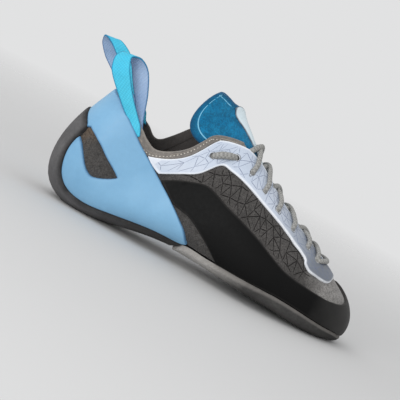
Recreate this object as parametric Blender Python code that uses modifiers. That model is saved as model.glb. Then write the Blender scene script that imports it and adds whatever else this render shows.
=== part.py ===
"""Low climbing shoe for the right foot, laced, standing on its heel and forefoot.

Frame: metres, +X to the toe, +Z up, outer side of the foot at -Y.
The origin is on the floor, at the middle of the heel's flat spot.

Every leather and rubber piece is a panel of the last. The last is a row of sections that fan
from the toe, under the foot and round the heel up to the ankle. A point of it has two shares:
  along  0 at the toe's tip, 1 at the ankle
  round  0 under the foot or up the heel's back, 1 on the crest, negative on the outer side
A panel is an outline in these shares, lifted off the last to its inner and its outer face.
"""
import bpy
import bmesh
import numpy as np
from mathutils import Vector

# Driving dimensions
LAST_LENGTH = 0.236
INSTEP_HEIGHT = 0.120
BALL_WIDTH = 0.082
HEEL_REST_X = 0.032
LAYER_GAP = 0.0006
INNER_GAP = 0.0009

UPPER_WALL = 0.0018
EYESTAY_THICK = 0.0010
RAND_THICK = 0.0015
HEEL_STRIP_THICK = 0.0030
SOLE_THICK = 0.0052
SOLE_LIP = 0.0021
INSOLE_THICK = 0.0022
TONGUE_THICK = 0.0030
TONGUE_PANEL_THICK = 0.0008
EYELET_RADIUS = 0.0021
LACE_RADIUS = 0.0019
WEBBING_THICK = 0.0011

# Grid that every panel is cut on, so that facing walls have the same facets
# Stretches of the last, toe, forefoot, heel and ankle: (share along where it ends, steps)
ALONG_STEPS = [(0.10, 5), (0.72, 15), (0.90, 9), (1.00, 2)]
# The same round a half section, from the underside to the crest
ROUND_STEPS = [(0.30, 5), (0.60, 3), (1.00, 5)]
SWEEP_STEPS = 96
# What counts as travel from one section to the next: the foot's move, the crest's, the width's
TRAVEL_SHARES = (0.5, 0.5, 0.3)
WHOLE_TURN = 2
SHARP_ANGLE = 0.6
WELD = 0.000002
# Shares of the chart: points that merge, and the gap between two panels side by side
MERGE_SHARE = 0.0004
EDGE_SHARE = 0.0015
STRIP_FRONT_SHARE = 0.5645
# The eyestay meets the binding from this share around and up
EYESTAY_TOP_SHARE = 0.48
PUNCH_LENGTH = 0.012
PUNCH_SIDES = 6
LACE_REST = LAYER_GAP + EYESTAY_THICK + LAYER_GAP + LACE_RADIUS
LACE_LOW = 0.0012
LACE_CROSS_SHARE = 0.038
BAR_POINTS = 7
LOCK_POINTS = 5

# The last, toe to ankle. Lengths are shares of LAST_LENGTH, heights of INSTEP_HEIGHT and
# widths of BALL_WIDTH. level is the height share of the widest point, floor and crown are
# the fullness of the section below and above it.
LAST = [
    # foot x, foot z, crest x, crest z, centre, outer, inner, level, floor, crown
    (1.000, 0.108, 1.000, 0.108, 0.120, 0.000, 0.000, 0.45, 2.2, 2.2),
    (0.994, 0.062, 0.994, 0.165, 0.120, 0.130, 0.125, 0.45, 2.3, 2.2),
    (0.975, 0.046, 0.974, 0.228, 0.115, 0.235, 0.210, 0.44, 2.6, 2.2),
    (0.932, 0.037, 0.931, 0.295, 0.100, 0.340, 0.290, 0.42, 3.0, 2.1),
    (0.873, 0.040, 0.869, 0.368, 0.075, 0.420, 0.355, 0.38, 3.2, 2.0),
    (0.788, 0.058, 0.780, 0.464, 0.045, 0.485, 0.425, 0.33, 3.3, 1.9),
    (0.686, 0.073, 0.678, 0.572, 0.015, 0.510, 0.465, 0.29, 3.2, 1.8),
    (0.568, 0.088, 0.589, 0.692, 0.000, 0.480, 0.440, 0.27, 2.9, 1.8),
    (0.440, 0.097, 0.530, 0.793, -0.005, 0.420, 0.380, 0.26, 2.6, 1.8),
    (0.314, 0.067, 0.492, 0.860, -0.005, 0.378, 0.354, 0.25, 2.4, 1.8),
    (0.195, 0.022, 0.468, 0.901, 0.000, 0.360, 0.354, 0.25, 2.4, 1.9),
    (0.100, 0.021, 0.453, 0.930, 0.000, 0.354, 0.354, 0.27, 2.3, 1.9),
    (0.034, 0.095, 0.443, 0.955, 0.000, 0.354, 0.354, 0.29, 2.3, 1.9),
    (0.011, 0.240, 0.434, 0.980, 0.000, 0.348, 0.348, 0.31, 2.3, 2.0),
    (0.020, 0.400, 0.426, 1.005, 0.000, 0.336, 0.336, 0.34, 2.2, 2.0),
    (0.050, 0.565, 0.417, 1.030, 0.000, 0.330, 0.330, 0.38, 2.1, 2.0),
    (0.085, 0.715, 0.407, 1.055, 0.000, 0.330, 0.330, 0.42, 2.0, 2.0),
    (0.106, 0.815, 0.398, 1.072, 0.000, 0.330, 0.330, 0.44, 2.0, 2.0),
]

# Edges of the panels on the outer side, as (along, round). The other side mirrors them.
# Rim of the collar from the heel's back to the top of the throat
RIM = [(0.968, 0.000), (0.962, -0.100), (0.930, -0.260), (0.893, -0.390), (0.848, -0.483), (0.810, -0.529),
       (0.779, -0.557), (0.755, -0.620), (0.744, -0.677), (0.745, -0.740), (0.746, -0.790), (0.719, -0.828),
       (0.640, -0.882)]
# Lower edge of the collar's binding, where the eyestay starts
BINDING_FOOT = [(0.940, 0.000), (0.932, -0.100), (0.897, -0.260), (0.858, -0.390), (0.815, -0.470),
                (0.776, -0.509), (0.738, -0.585), (0.721, -0.640), (0.717, -0.701), (0.716, -0.772),
                (0.698, -0.808), (0.600, -0.878)]
# The inner side's rim and binding, drawn as the outer's: beside the tongue they stand higher
RIM_INNER = RIM[:6] + [(0.799, -0.557), (0.797, -0.600), (0.798, -0.650), (0.800, -0.695), (0.796, -0.740),
                       (0.776, -0.790), (0.735, -0.828), (0.640, -0.882)]
BINDING_FOOT_INNER = BINDING_FOOT[:6] + [(0.767, -0.545), (0.766, -0.590), (0.767, -0.640), (0.769, -0.690),
                                         (0.766, -0.735), (0.748, -0.775), (0.709, -0.808), (0.600, -0.878)]
# Edge of the throat, from the binding to the front of the throat
THROAT = [(0.545, -0.900), (0.484, -0.926), (0.380, -0.934), (0.280, -0.934), (0.222, -0.945),
          (0.200, -0.970),
          (0.195, -1.000)]
# Lower edge of the eyestay, from the heel rand to the front of the throat
EYESTAY_FOOT = [(0.719, -0.487), (0.682, -0.545), (0.650, -0.597), (0.625, -0.700), (0.584, -0.715),
                (0.510, -0.733), (0.441, -0.747), (0.382, -0.758), (0.323, -0.749), (0.268, -0.719),
                (0.258, -0.683), (0.229, -0.668), (0.178, -0.719), (0.162, -0.826), (0.158, -1.000)]
# Front edge of the heel rand, from the collar's rim to the arch
HEEL_RAND_FRONT = [(0.955, -0.130), (0.925, -0.240), (0.880, -0.383), (0.823, -0.481), (0.778, -0.507),
                   (0.724, -0.485), (0.627, -0.383), (0.568, -0.307), (0.543, -0.242)]
# Edge of the strip under the heel and up its back
STRIP_EDGE = [(0.551, -0.222), (0.571, -0.204), (0.637, -0.188), (0.700, -0.180), (0.748, -0.150),
              (0.773, -0.138), (0.793, -0.140), (0.815, -0.152), (0.843, -0.160), (0.862, -0.183),
              (0.878, -0.186), (0.897, -0.130), (0.915, -0.056), (0.922, 0.000)]
# Window of the heel rand, a rounded triangle that opens on the strip
WINDOW = [(0.853, -0.192), (0.810, -0.253), (0.786, -0.261), (0.775, -0.277), (0.757, -0.340),
          (0.763, -0.351),
          (0.815, -0.343), (0.870, -0.228), (0.881, -0.199)]
# Upper edge of the toe rand, from the heel rand to the toe, outer side then inner side
TOE_RAND_TOP_OUTER = [(0.699, -0.466), (0.684, -0.493), (0.644, -0.539), (0.608, -0.568), (0.568, -0.569),
                      (0.524, -0.562), (0.467, -0.574), (0.402, -0.571), (0.342, -0.556), (0.300, -0.540),
                      (0.245, -0.553), (0.189, -0.573), (0.142, -0.602), (0.099, -0.680), (0.086, -0.820),
                      (0.092, -1.000)]
TOE_RAND_TOP_INNER = [(0.699, 0.466), (0.684, 0.493), (0.644, 0.539), (0.608, 0.568), (0.568, 0.569),
                      (0.467, 0.574), (0.380, 0.572), (0.300, 0.580), (0.225, 0.625), (0.172, 0.680),
                      (0.150, 0.760), (0.140, 0.840), (0.118, 0.930), (0.092, 1.000)]
# Rear edge of the toe rand, along the heel rand and then down to the sole
TOE_RAND_REAR = [(0.699, -0.466), (0.627, -0.392), (0.604, -0.386), (0.578, -0.380), (0.545, -0.361),
                 (0.504, -0.331), (0.473, -0.300)]
# Top edge of the sole's wall, from the arch to the toe
SOLE_TOP = [(0.561, 0.000), (0.561, -0.130), (0.545, -0.222), (0.493, -0.257), (0.440, -0.303),
            (0.370, -0.350),
            (0.302, -0.383), (0.200, -0.400), (0.120, -0.392), (0.071, -0.360), (0.046, -0.290),
            (0.034, -0.180),
            (0.030, 0.000)]
# Opening under the foot, from the toe to the heel
UNDERFOOT = [(0.080, 0.000), (0.088, -0.050), (0.130, -0.090), (0.250, -0.120), (0.450, -0.110),
             (0.600, -0.085),
             (0.700, -0.080), (0.755, -0.060), (0.775, 0.000)]
# Edge of the insole, from the toe to the heel
INSOLE_EDGE = [(0.060, 0.000), (0.066, -0.120), (0.090, -0.190), (0.160, -0.225), (0.300, -0.225),
               (0.450, -0.190), (0.600, -0.160), (0.700, -0.150), (0.755, -0.120), (0.785, -0.060),
               (0.795, 0.000)]
# Edge of the tongue, from its front end in the shoe to the notch between its ears
TONGUE_EDGE = [(0.180, -1.000), (0.185, -0.900), (0.230, -0.850), (0.400, -0.800), (0.600, -0.760),
               (0.720, -0.730), (0.800, -0.715), (0.860, -0.715), (0.905, -0.742), (0.938, -0.785),
               (0.940, -0.820),
               (0.905, -0.880), (0.850, -0.940), (0.815, -1.000)]
# Edge of the smooth panel on the middle of the tongue
TONGUE_PANEL_EDGE = [(0.300, -1.000), (0.305, -0.960), (0.560, -0.952), (0.700, -0.940), (0.800, -0.925),
                     (0.836, -0.935), (0.828, -0.965), (0.800, -1.000)]
# Lace holes of the outer side, front to top; the last two hold the lock of the lace
EYELETS = [(0.231, -0.806), (0.270, -0.820), (0.330, -0.818), (0.392, -0.816), (0.456, -0.812),
           (0.528, -0.806), (0.608, -0.788), (0.672, -0.712)]

# Webbing loop of the outer side, from its outer end over the top to its inner end: a point of the
# rear edge and one of the front edge, in metres from the spot of the rim where it is sewn in
PULL_LOOP = [
    # rear x, y, z, front x, y, z
    (0.0004, -0.0012, -0.0067, 0.0015, -0.0011, -0.0053),
    (-0.0068, -0.0011, -0.0022, -0.0012, -0.0010, 0.0004),
    (-0.0124, -0.0007, 0.0017, -0.0053, -0.0009, 0.0051),
    (-0.0231, -0.0033, 0.0115, -0.0145, -0.0028, 0.0157),
    (-0.0343, -0.0053, 0.0232, -0.0235, -0.0043, 0.0286),
    (-0.0375, -0.0033, 0.0298, -0.0267, -0.0023, 0.0348),
    (-0.0379, -0.0003, 0.0352, -0.0275, 0.0007, 0.0389),
    (-0.0346, 0.0057, 0.0392, -0.0218, 0.0047, 0.0403),
    (-0.0285, 0.0107, 0.0358, -0.0143, 0.0067, 0.0350),
    (-0.0197, 0.0092, 0.0226, -0.0076, 0.0052, 0.0223),
    (-0.0127, 0.0056, 0.0131, -0.0035, 0.0040, 0.0104),
    (-0.0084, 0.0036, 0.0056, -0.0010, 0.0032, 0.0030),
    (-0.0049, 0.0028, -0.0017, 0.0023, 0.0030, -0.0036),
]
LOOP_SPOT_OUTER = (0.848, 0.483)
LOOP_SPOT_INNER = (0.866, 0.448)
# The inner loop sits this much higher, and above its knee it leans back by a share of its height
LOOP_RISE = 0.0008
LOOP_KNEE = 0.0042
LOOP_LEAN = 0.50

MATERIALS = {
    "microfibre": ((0.155, 0.130, 0.110), 0.85),
    "suede": ((0.125, 0.105, 0.090), 0.90),
    "black_rubber": ((0.018, 0.018, 0.020), 0.55),
    "sole_rubber": ((0.060, 0.056, 0.052), 0.60),
    "blue_rubber": ((0.235, 0.470, 0.730), 0.50),
    "pale_synthetic": ((0.600, 0.640, 0.760), 0.60),
    "tongue_fabric": ((0.008, 0.160, 0.320), 0.75),
    "lace_cord": ((0.360, 0.355, 0.320), 0.80),
    "webbing": ((0.010, 0.410, 0.620), 0.60),
    "board": ((0.420, 0.400, 0.360), 0.90),
}


def clear_scene():
    for obj in list(bpy.data.objects):
        bpy.data.objects.remove(obj, do_unlink=True)


def material(name):
    found = bpy.data.materials.get(name)
    if found:
        return found
    colour, roughness = MATERIALS[name]
    mat = bpy.data.materials.new(name)
    mat.use_nodes = True
    shader = mat.node_tree.nodes["Principled BSDF"]
    shader.inputs["Base Color"].default_value = (*colour, 1.0)
    shader.inputs["Roughness"].default_value = roughness
    return mat


def scaled_sections():
    """The last's rows in metres, with x from the heel's rest."""
    unit = [LAST_LENGTH, INSTEP_HEIGHT, LAST_LENGTH, INSTEP_HEIGHT, BALL_WIDTH, BALL_WIDTH, BALL_WIDTH, 1, 1, 1]
    rows = np.array(LAST) * np.array(unit)
    rows[:, [0, 2]] -= HEEL_REST_X
    return rows


def spline_slopes(knots, rows):
    """Second derivatives of the natural cubic spline through the rows."""
    count = len(knots)
    step = np.diff(knots)
    matrix = np.eye(count)
    right = np.zeros_like(rows)
    for i in range(1, count - 1):
        matrix[i, i - 1:i + 2] = step[i - 1], 2 * (step[i - 1] + step[i]), step[i]
        right[i] = 6 * ((rows[i + 1] - rows[i]) / step[i] - (rows[i] - rows[i - 1]) / step[i - 1])
    return np.linalg.solve(matrix, right)


SECTIONS = scaled_sections()
MOVE = np.abs(np.diff(SECTIONS, axis=0))
STEPS = np.stack([np.hypot(MOVE[:, 0], MOVE[:, 1]), np.hypot(MOVE[:, 2], MOVE[:, 3]), MOVE[:, 5]])
TRAVEL = STEPS.T @ TRAVEL_SHARES
KNOTS = np.concatenate([[0.0], np.cumsum(TRAVEL)]) / TRAVEL.sum()
BENDS = spline_slopes(KNOTS, SECTIONS)
SWEEP = np.linspace(0.0, np.pi, SWEEP_STEPS + 1)


def section_at(along):
    """One row of the last, interpolated at a share along it."""
    i = int(np.clip(np.searchsorted(KNOTS, along, side="right") - 1, 0, len(KNOTS) - 2))
    step = KNOTS[i + 1] - KNOTS[i]
    a = (KNOTS[i + 1] - along) / step
    b = (along - KNOTS[i]) / step
    bend = (a ** 3 - a) * BENDS[i] + (b ** 3 - b) * BENDS[i + 1]
    return a * SECTIONS[i] + b * SECTIONS[i + 1] + bend * step * step / 6


def skin(along, around):
    """A point on the last."""
    along = min(max(along, 0.0), 1.0)
    around = (around + 1) % WHOLE_TURN - 1
    foot_x, foot_z, crest_x, crest_z, centre, outer, inner, level, floor, crown = section_at(along)
    half = outer if around < 0 else inner
    low = SWEEP <= np.pi / 2
    power = 2 / np.where(low, floor, crown)
    reach = half * np.abs(np.sin(SWEEP)) ** power
    drop = np.abs(np.cos(SWEEP)) ** power
    rise = np.where(low, level * (1 - drop), level + (1 - level) * drop)
    height = np.hypot(crest_x - foot_x, crest_z - foot_z)
    girth = np.concatenate([[0.0], np.cumsum(np.hypot(np.diff(reach), np.diff(rise) * height))])
    want = abs(around) * girth[-1]
    side = np.interp(want, girth, reach)
    up = np.interp(want, girth, rise)
    x = foot_x + (crest_x - foot_x) * up
    z = foot_z + (crest_z - foot_z) * up
    return np.array([x, centre - side if around < 0 else centre + side, z])


def normal(along, around):
    """The last's outward direction; straight ahead at the very tip of the toe."""
    if along < 1e-6:
        return np.array([1.0, 0.0, 0.0])
    step = 1e-3
    here = min(max(along, 4 * step), 1 - 2 * step)
    forward = skin(here + step, around) - skin(here - step, around)
    across = skin(here, around + step) - skin(here, around - step)
    out = np.cross(forward, across)
    return out / np.linalg.norm(out)


def lifted(along, around, lift):
    """A point off the last, pressed flat where it would pass the floor."""
    point = skin(along, around) + normal(along, around) * lift
    point[2] = max(point[2], 0.0)
    return point


def sole_face(along, around, lift):
    """The sole's outer face: thick below, a thin lip at the side."""
    out = normal(along, around)
    thick = np.array([SOLE_LIP, SOLE_LIP, SOLE_THICK if out[2] < 0 else SOLE_LIP])
    point = skin(along, around) + out * thick
    point[2] = max(point[2], 0.0)
    return point


def shifted(edge, along=0.0, around=0.0):
    """An edge moved a little, in shares."""
    return [(a + along, r + around) for a, r in edge]


def mirrored(edge):
    """The same edge on the inner side."""
    return [(a, -r) for a, r in edge]


def over_crest(edge):
    """The same edge mirrored in the crest, for a panel that lies across it."""
    return [(a, -WHOLE_TURN - r) for a, r in edge]


def stations(stretches):
    """Shares where every panel is cut: close together where the last bends most."""
    shares = [0.0]
    for end, steps in stretches:
        shares += list(np.linspace(shares[-1], end, steps + 1)[1:])
    return shares


def flat_sheet(outlines):
    """Faces in the chart of shares, cut on the grid."""
    bm = bmesh.new()
    for outline in outlines:
        bm.faces.new([bm.verts.new((a, r, 0.0)) for a, r in outline])
    cuts = [((along, 0, 0), (1, 0, 0)) for along in stations(ALONG_STEPS)[1:-1]]
    for around in stations(ROUND_STEPS):
        cuts += [((0, turn, 0), (0, 1, 0)) for turn in (around, -around, around - WHOLE_TURN)]
    for place, direction in cuts:
        geom = bm.verts[:] + bm.edges[:] + bm.faces[:]
        bmesh.ops.bisect_plane(bm, geom=geom, dist=MERGE_SHARE, plane_co=place, plane_no=direction)
    bmesh.ops.remove_doubles(bm, verts=bm.verts[:], dist=MERGE_SHARE)
    return bm


def panel(name, look, outlines, inner, outer, face=lifted):
    """A solid between two lifts off the last, inside the outlines."""
    bm = flat_sheet(outlines)
    share_along = bm.verts.layers.float.new("along")
    share_round = bm.verts.layers.float.new("round")
    for vert in bm.verts:
        vert[share_along] = vert.co.x
        vert[share_round] = vert.co.y
        vert.co = face(vert.co.x, vert.co.y, outer)
    bmesh.ops.remove_doubles(bm, verts=bm.verts[:], dist=WELD)
    rims = [edge for edge in bm.edges if len(edge.link_faces) == 1]
    tops = bm.faces[:]
    below = {v: bm.verts.new(lifted(v[share_along], v[share_round], inner)) for v in bm.verts[:]}
    for top in tops:
        bm.faces.new([below[v] for v in reversed(top.verts)])
    for rim in rims:
        first = rim.link_loops[0].vert
        last = rim.other_vert(first)
        bm.faces.new([last, first, below[first], below[last]])
    bmesh.ops.remove_doubles(bm, verts=bm.verts[:], dist=WELD)
    bmesh.ops.recalc_face_normals(bm, faces=bm.faces[:])
    mesh = bpy.data.meshes.new(name)
    bm.to_mesh(mesh)
    bm.free()
    return finished(name, mesh, look)


def finished(name, mesh, look):
    """An object of the shoe, with its material."""
    obj = bpy.data.objects.new(name, mesh)
    parts.objects.link(obj)
    mesh.materials.clear()
    mesh.materials.append(material(look))
    mesh.shade_smooth()
    mesh.set_sharp_from_angle(angle=SHARP_ANGLE)
    return obj


def punch_tool(name, places):
    """One cutter: a short rod through the panels at each place of the chart, on both sides."""
    bm = bmesh.new()
    for along, around in places + mirrored(places):
        out = Vector(normal(along, around))
        turn = out.to_track_quat("Z", "Y").to_matrix().to_4x4()
        turn.translation = Vector(skin(along, around))
        bmesh.ops.create_cone(bm, cap_ends=True, segments=PUNCH_SIDES, radius1=EYELET_RADIUS,
                              radius2=EYELET_RADIUS, depth=PUNCH_LENGTH, matrix=turn)
    mesh = bpy.data.meshes.new(name)
    bm.to_mesh(mesh)
    bm.free()
    tool = bpy.data.objects.new(name, mesh)
    cutters.objects.link(tool)
    tool.hide_render = True
    tool.display_type = "WIRE"
    return tool


def cut(obj, tool):
    mod = obj.modifiers.new("holes", "BOOLEAN")
    mod.operation = "DIFFERENCE"
    mod.object = tool


def cord(route, radius):
    """A round cord through points, as a closed mesh."""
    data = bpy.data.curves.new("cord", "CURVE")
    data.dimensions = "3D"
    data.bevel_depth = radius
    data.bevel_resolution = 1
    data.use_fill_caps = True
    spline = data.splines.new("POLY")
    spline.points.add(len(route) - 1)
    for point, co in zip(spline.points, route):
        point.co = (*co, 1.0)
    guide = bpy.data.objects.new("cord", data)
    cutters.objects.link(guide)
    bpy.context.view_layer.update()
    mesh = bpy.data.meshes.new_from_object(guide.evaluated_get(bpy.context.evaluated_depsgraph_get()))
    bpy.data.objects.remove(guide, do_unlink=True)
    bm = bmesh.new()
    bm.from_mesh(mesh)
    bmesh.ops.remove_doubles(bm, verts=bm.verts[:], dist=WELD)
    bmesh.ops.recalc_face_normals(bm, faces=bm.faces[:])
    bm.to_mesh(mesh)
    bm.free()
    return mesh


def joined(name, look, meshes):
    """One solid from meshes that run into each other."""
    obj = finished(name, meshes[0], look)
    for mesh in meshes[1:]:
        tool = bpy.data.objects.new(name + "_run", mesh)
        cutters.objects.link(tool)
        tool.hide_render = True
        tool.display_type = "WIRE"
        mod = obj.modifiers.new("join", "BOOLEAN")
        mod.operation = "UNION"
        mod.object = tool
    return obj


def lace_route(start, end, points):
    """A straight run of the lace on the chart, resting on the eyestay's layer."""
    shares = np.linspace(start, end, points)
    return [lifted(along, around, LACE_REST) for along, around in shares]


def halves(outer, inner):
    """The outlines of a panel's two halves; the inner one is given as its mirror image."""
    return [outer, mirrored(inner)[::-1]]


def whole(half):
    """The outline of a panel that runs across the foot's underside in one face."""
    return [half + mirrored(half)[::-1][1:-1]]


def over_throat(half):
    """The outline of a panel that runs across the crest in one face."""
    return [half + over_crest(half)[::-1][1:-1]]


def build_upper(holes):
    below = [(0.0, -1.0), (0.0, 0.0)] + UNDERFOOT
    sides = [below + foot + THROAT for foot in (BINDING_FOOT, BINDING_FOOT_INNER)]
    upper = panel("upper", "microfibre", halves(*sides), -UPPER_WALL, 0.0)
    cut(upper, holes)


def build_binding():
    edges = ((RIM, BINDING_FOOT), (RIM_INNER, BINDING_FOOT_INNER))
    sides = [rim + shifted(foot, along=EDGE_SHARE)[::-1] for rim, foot in edges]
    panel("collar_binding", "suede", halves(*sides), -UPPER_WALL, 0.0)


def build_eyestay(holes):
    sides = []
    for foot in (BINDING_FOOT, BINDING_FOOT_INNER):
        top = [p for p in foot if p[1] < -EYESTAY_TOP_SHARE]
        sides.append(shifted(top, along=-EDGE_SHARE, around=-EDGE_SHARE) + THROAT + EYESTAY_FOOT[::-1])
    outlines = [sides[0], over_crest(sides[1])[::-1]]
    stay = panel("eyestay", "pale_synthetic", outlines, LAYER_GAP, LAYER_GAP + EYESTAY_THICK)
    cut(stay, holes)


def build_tongue():
    outer = -UPPER_WALL - INNER_GAP
    panel("tongue", "tongue_fabric", over_throat(TONGUE_EDGE), outer - TONGUE_THICK, outer)
    lift = outer + LAYER_GAP
    panel("tongue_panel", "pale_synthetic", over_throat(TONGUE_PANEL_EDGE), lift, lift + TONGUE_PANEL_THICK)


def build_insole():
    outer = -UPPER_WALL - INNER_GAP
    panel("insole", "board", whole(INSOLE_EDGE), outer - INSOLE_THICK, outer)


def build_heel():
    strip = [(STRIP_FRONT_SHARE, 0.0), (STRIP_FRONT_SHARE, -0.140)] + STRIP_EDGE
    panel("heel_strip", "sole_rubber", whole(strip), LAYER_GAP, LAYER_GAP + HEEL_STRIP_THICK)
    edge = shifted(STRIP_EDGE, around=-EDGE_SHARE)
    low = [p for p in edge if p[0] < WINDOW[0][0]]
    high = [p for p in edge if p[0] > WINDOW[-1][0]][:-1]
    side = [RIM[0]] + HEEL_RAND_FRONT + low + WINDOW + high + [(STRIP_EDGE[-1][0] + EDGE_SHARE, 0.0)]
    panel("heel_rand", "blue_rubber", halves(side, side), LAYER_GAP, LAYER_GAP + RAND_THICK)


def build_toe_rand():
    sole = [p for p in shifted(SOLE_TOP, around=-2 * EDGE_SHARE)[::-1] if p[0] < TOE_RAND_REAR[-1][0]]
    low = [(0.0, -1.0), (0.0, 0.0), (SOLE_TOP[-1][0] - 2 * EDGE_SHARE, 0.0)] + sole[1:] + TOE_RAND_REAR[::-1]
    outer = low + TOE_RAND_TOP_OUTER[1:]
    inner = mirrored(low) + TOE_RAND_TOP_INNER[1:]
    panel("toe_rand", "black_rubber", [outer, inner[::-1]], LAYER_GAP, LAYER_GAP + RAND_THICK)


def build_outsole():
    panel("outsole", "sole_rubber", whole(SOLE_TOP), LAYER_GAP, SOLE_THICK, face=sole_face)


def build_laces():
    across = over_crest(EYELETS)
    routes = [lace_route(start, end, BAR_POINTS) for start, end in zip(EYELETS[:-1], across[:-1])]
    routes += [lace_route(side[-2], side[-1], LOCK_POINTS) for side in (EYELETS, across)]
    for (back, _), (front, _) in zip(EYELETS[1:-1], EYELETS[:-2]):
        links = ((front, -1 - LACE_CROSS_SHARE), ((front + back) / 2, -1), (back, -1 + LACE_CROSS_SHARE))
        routes.append([lifted(along, around, LACE_LOW) for along, around in links])
    joined("laces", "lace_cord", [cord(route, LACE_RADIUS) for route in routes])


def pull_loop(name, side, spot, rise, lean):
    """A webbing loop between its rear and its front edge, leaning back towards its top."""
    place = skin(spot[0], -side * spot[1])
    bm = bmesh.new()
    rails = []
    for row in PULL_LOOP:
        pair = []
        for x, y, z in (row[:3], row[3:]):
            pair.append(bm.verts.new(place + (x - lean * max(z - LOOP_KNEE, 0.0), side * y, z + rise)))
        rails.append(pair)
    for (a, b), (c, d) in zip(rails, rails[1:]):
        bm.faces.new([a, b, d, c])
    mesh = bpy.data.meshes.new(name)
    bm.to_mesh(mesh)
    bm.free()
    loop = finished(name, mesh, "webbing")
    shell = loop.modifiers.new("webbing", "SOLIDIFY")
    shell.thickness = WEBBING_THICK
    shell.offset = 0.0
    return loop


clear_scene()
parts = bpy.data.collections.new("climbing_shoe")
cutters = bpy.data.collections.new("cutters")
bpy.context.scene.collection.children.link(parts)
bpy.context.scene.collection.children.link(cutters)

eyelet_punch = punch_tool("eyelet_punch", EYELETS)
build_upper(eyelet_punch)
build_binding()
build_eyestay(eyelet_punch)
build_tongue()
build_insole()
build_heel()
build_toe_rand()
build_outsole()
build_laces()
pull_loop("pull_loop_outer", 1, LOOP_SPOT_OUTER, 0.0, 0.0)
pull_loop("pull_loop_inner", -1, LOOP_SPOT_INNER, LOOP_RISE, LOOP_LEAN)
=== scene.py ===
# %% [markdown]
# A laced climbing shoe, dressed for its portrait.
# The imported solids give the place and the size of every piece. This script puts the finer pieces over
# them: microfibre with an edge that can be seen, rubber with a soft gloss, laces, seams and webbing.
# Read it from the top. Each piece has a note before it, and most code cells print what they made.

# %% Load the fixed frame
import math
import bpy
import bmesh
import numpy as np
from mathutils import Matrix, Vector, geometry


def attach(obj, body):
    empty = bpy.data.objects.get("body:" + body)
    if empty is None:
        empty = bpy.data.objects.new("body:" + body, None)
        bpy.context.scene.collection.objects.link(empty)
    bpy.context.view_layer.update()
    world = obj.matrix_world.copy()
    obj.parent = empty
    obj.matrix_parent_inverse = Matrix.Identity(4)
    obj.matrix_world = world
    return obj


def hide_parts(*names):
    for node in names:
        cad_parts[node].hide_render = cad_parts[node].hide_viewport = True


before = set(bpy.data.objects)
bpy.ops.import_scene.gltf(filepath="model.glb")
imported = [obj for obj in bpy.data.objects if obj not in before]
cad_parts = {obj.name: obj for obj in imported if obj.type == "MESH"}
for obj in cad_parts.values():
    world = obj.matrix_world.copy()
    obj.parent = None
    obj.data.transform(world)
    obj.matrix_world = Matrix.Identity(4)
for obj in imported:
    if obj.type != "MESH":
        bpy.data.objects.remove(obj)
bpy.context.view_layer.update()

print("nodes:", sorted(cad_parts))

# %% [markdown]
# The camera comes first, because everything else is judged through it. The picture shows the shoe from
# its outer side, a little above the sole, and rolled, so that the toe points down to the right. The shoe
# itself stands flat on its heel and forefoot. So it is the camera that rolls.

# %% Camera
LENS = 125.0
VIEW_CENTRE = Vector((0.0731, 0.0, 0.0447))
VIEW_DISTANCE = 0.9615
VIEW_RISE = math.radians(6.0)
VIEW_ROLL = math.radians(28.2)
back = Vector((0.0, -math.cos(VIEW_RISE), math.sin(VIEW_RISE)))
level_up = Vector((0.0, math.sin(VIEW_RISE), math.cos(VIEW_RISE)))
ahead = Vector((1.0, 0.0, 0.0))
photo_right = ahead * math.cos(VIEW_ROLL) + level_up * math.sin(VIEW_ROLL)
photo_up = level_up * math.cos(VIEW_ROLL) - ahead * math.sin(VIEW_ROLL)
turn = Matrix((photo_right, photo_up, back)).transposed().to_4x4()
camera_data = bpy.data.cameras.new("camera")
camera_data.lens = LENS
camera_data.sensor_width = 36.0
camera = bpy.data.objects.new("camera", camera_data)
bpy.context.scene.collection.objects.link(camera)
camera.matrix_world = Matrix.Translation(VIEW_CENTRE + back * VIEW_DISTANCE) @ turn
bpy.context.scene.camera = camera
print("camera at", [round(c, 3) for c in camera.matrix_world.translation])

# %% [markdown]
# A shoe is made on a last, a solid foot-shaped block. Every panel of cloth or rubber lies on it, so the
# script keeps the last as two functions instead of a mesh. The rows fan from the toe, under the foot and
# round the heel up to the ankle. A point has two shares: along, from 0 at the toe to 1 at the ankle, and
# around, from 0 under the foot to 1 on the crest, negative on the outer side.

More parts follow.
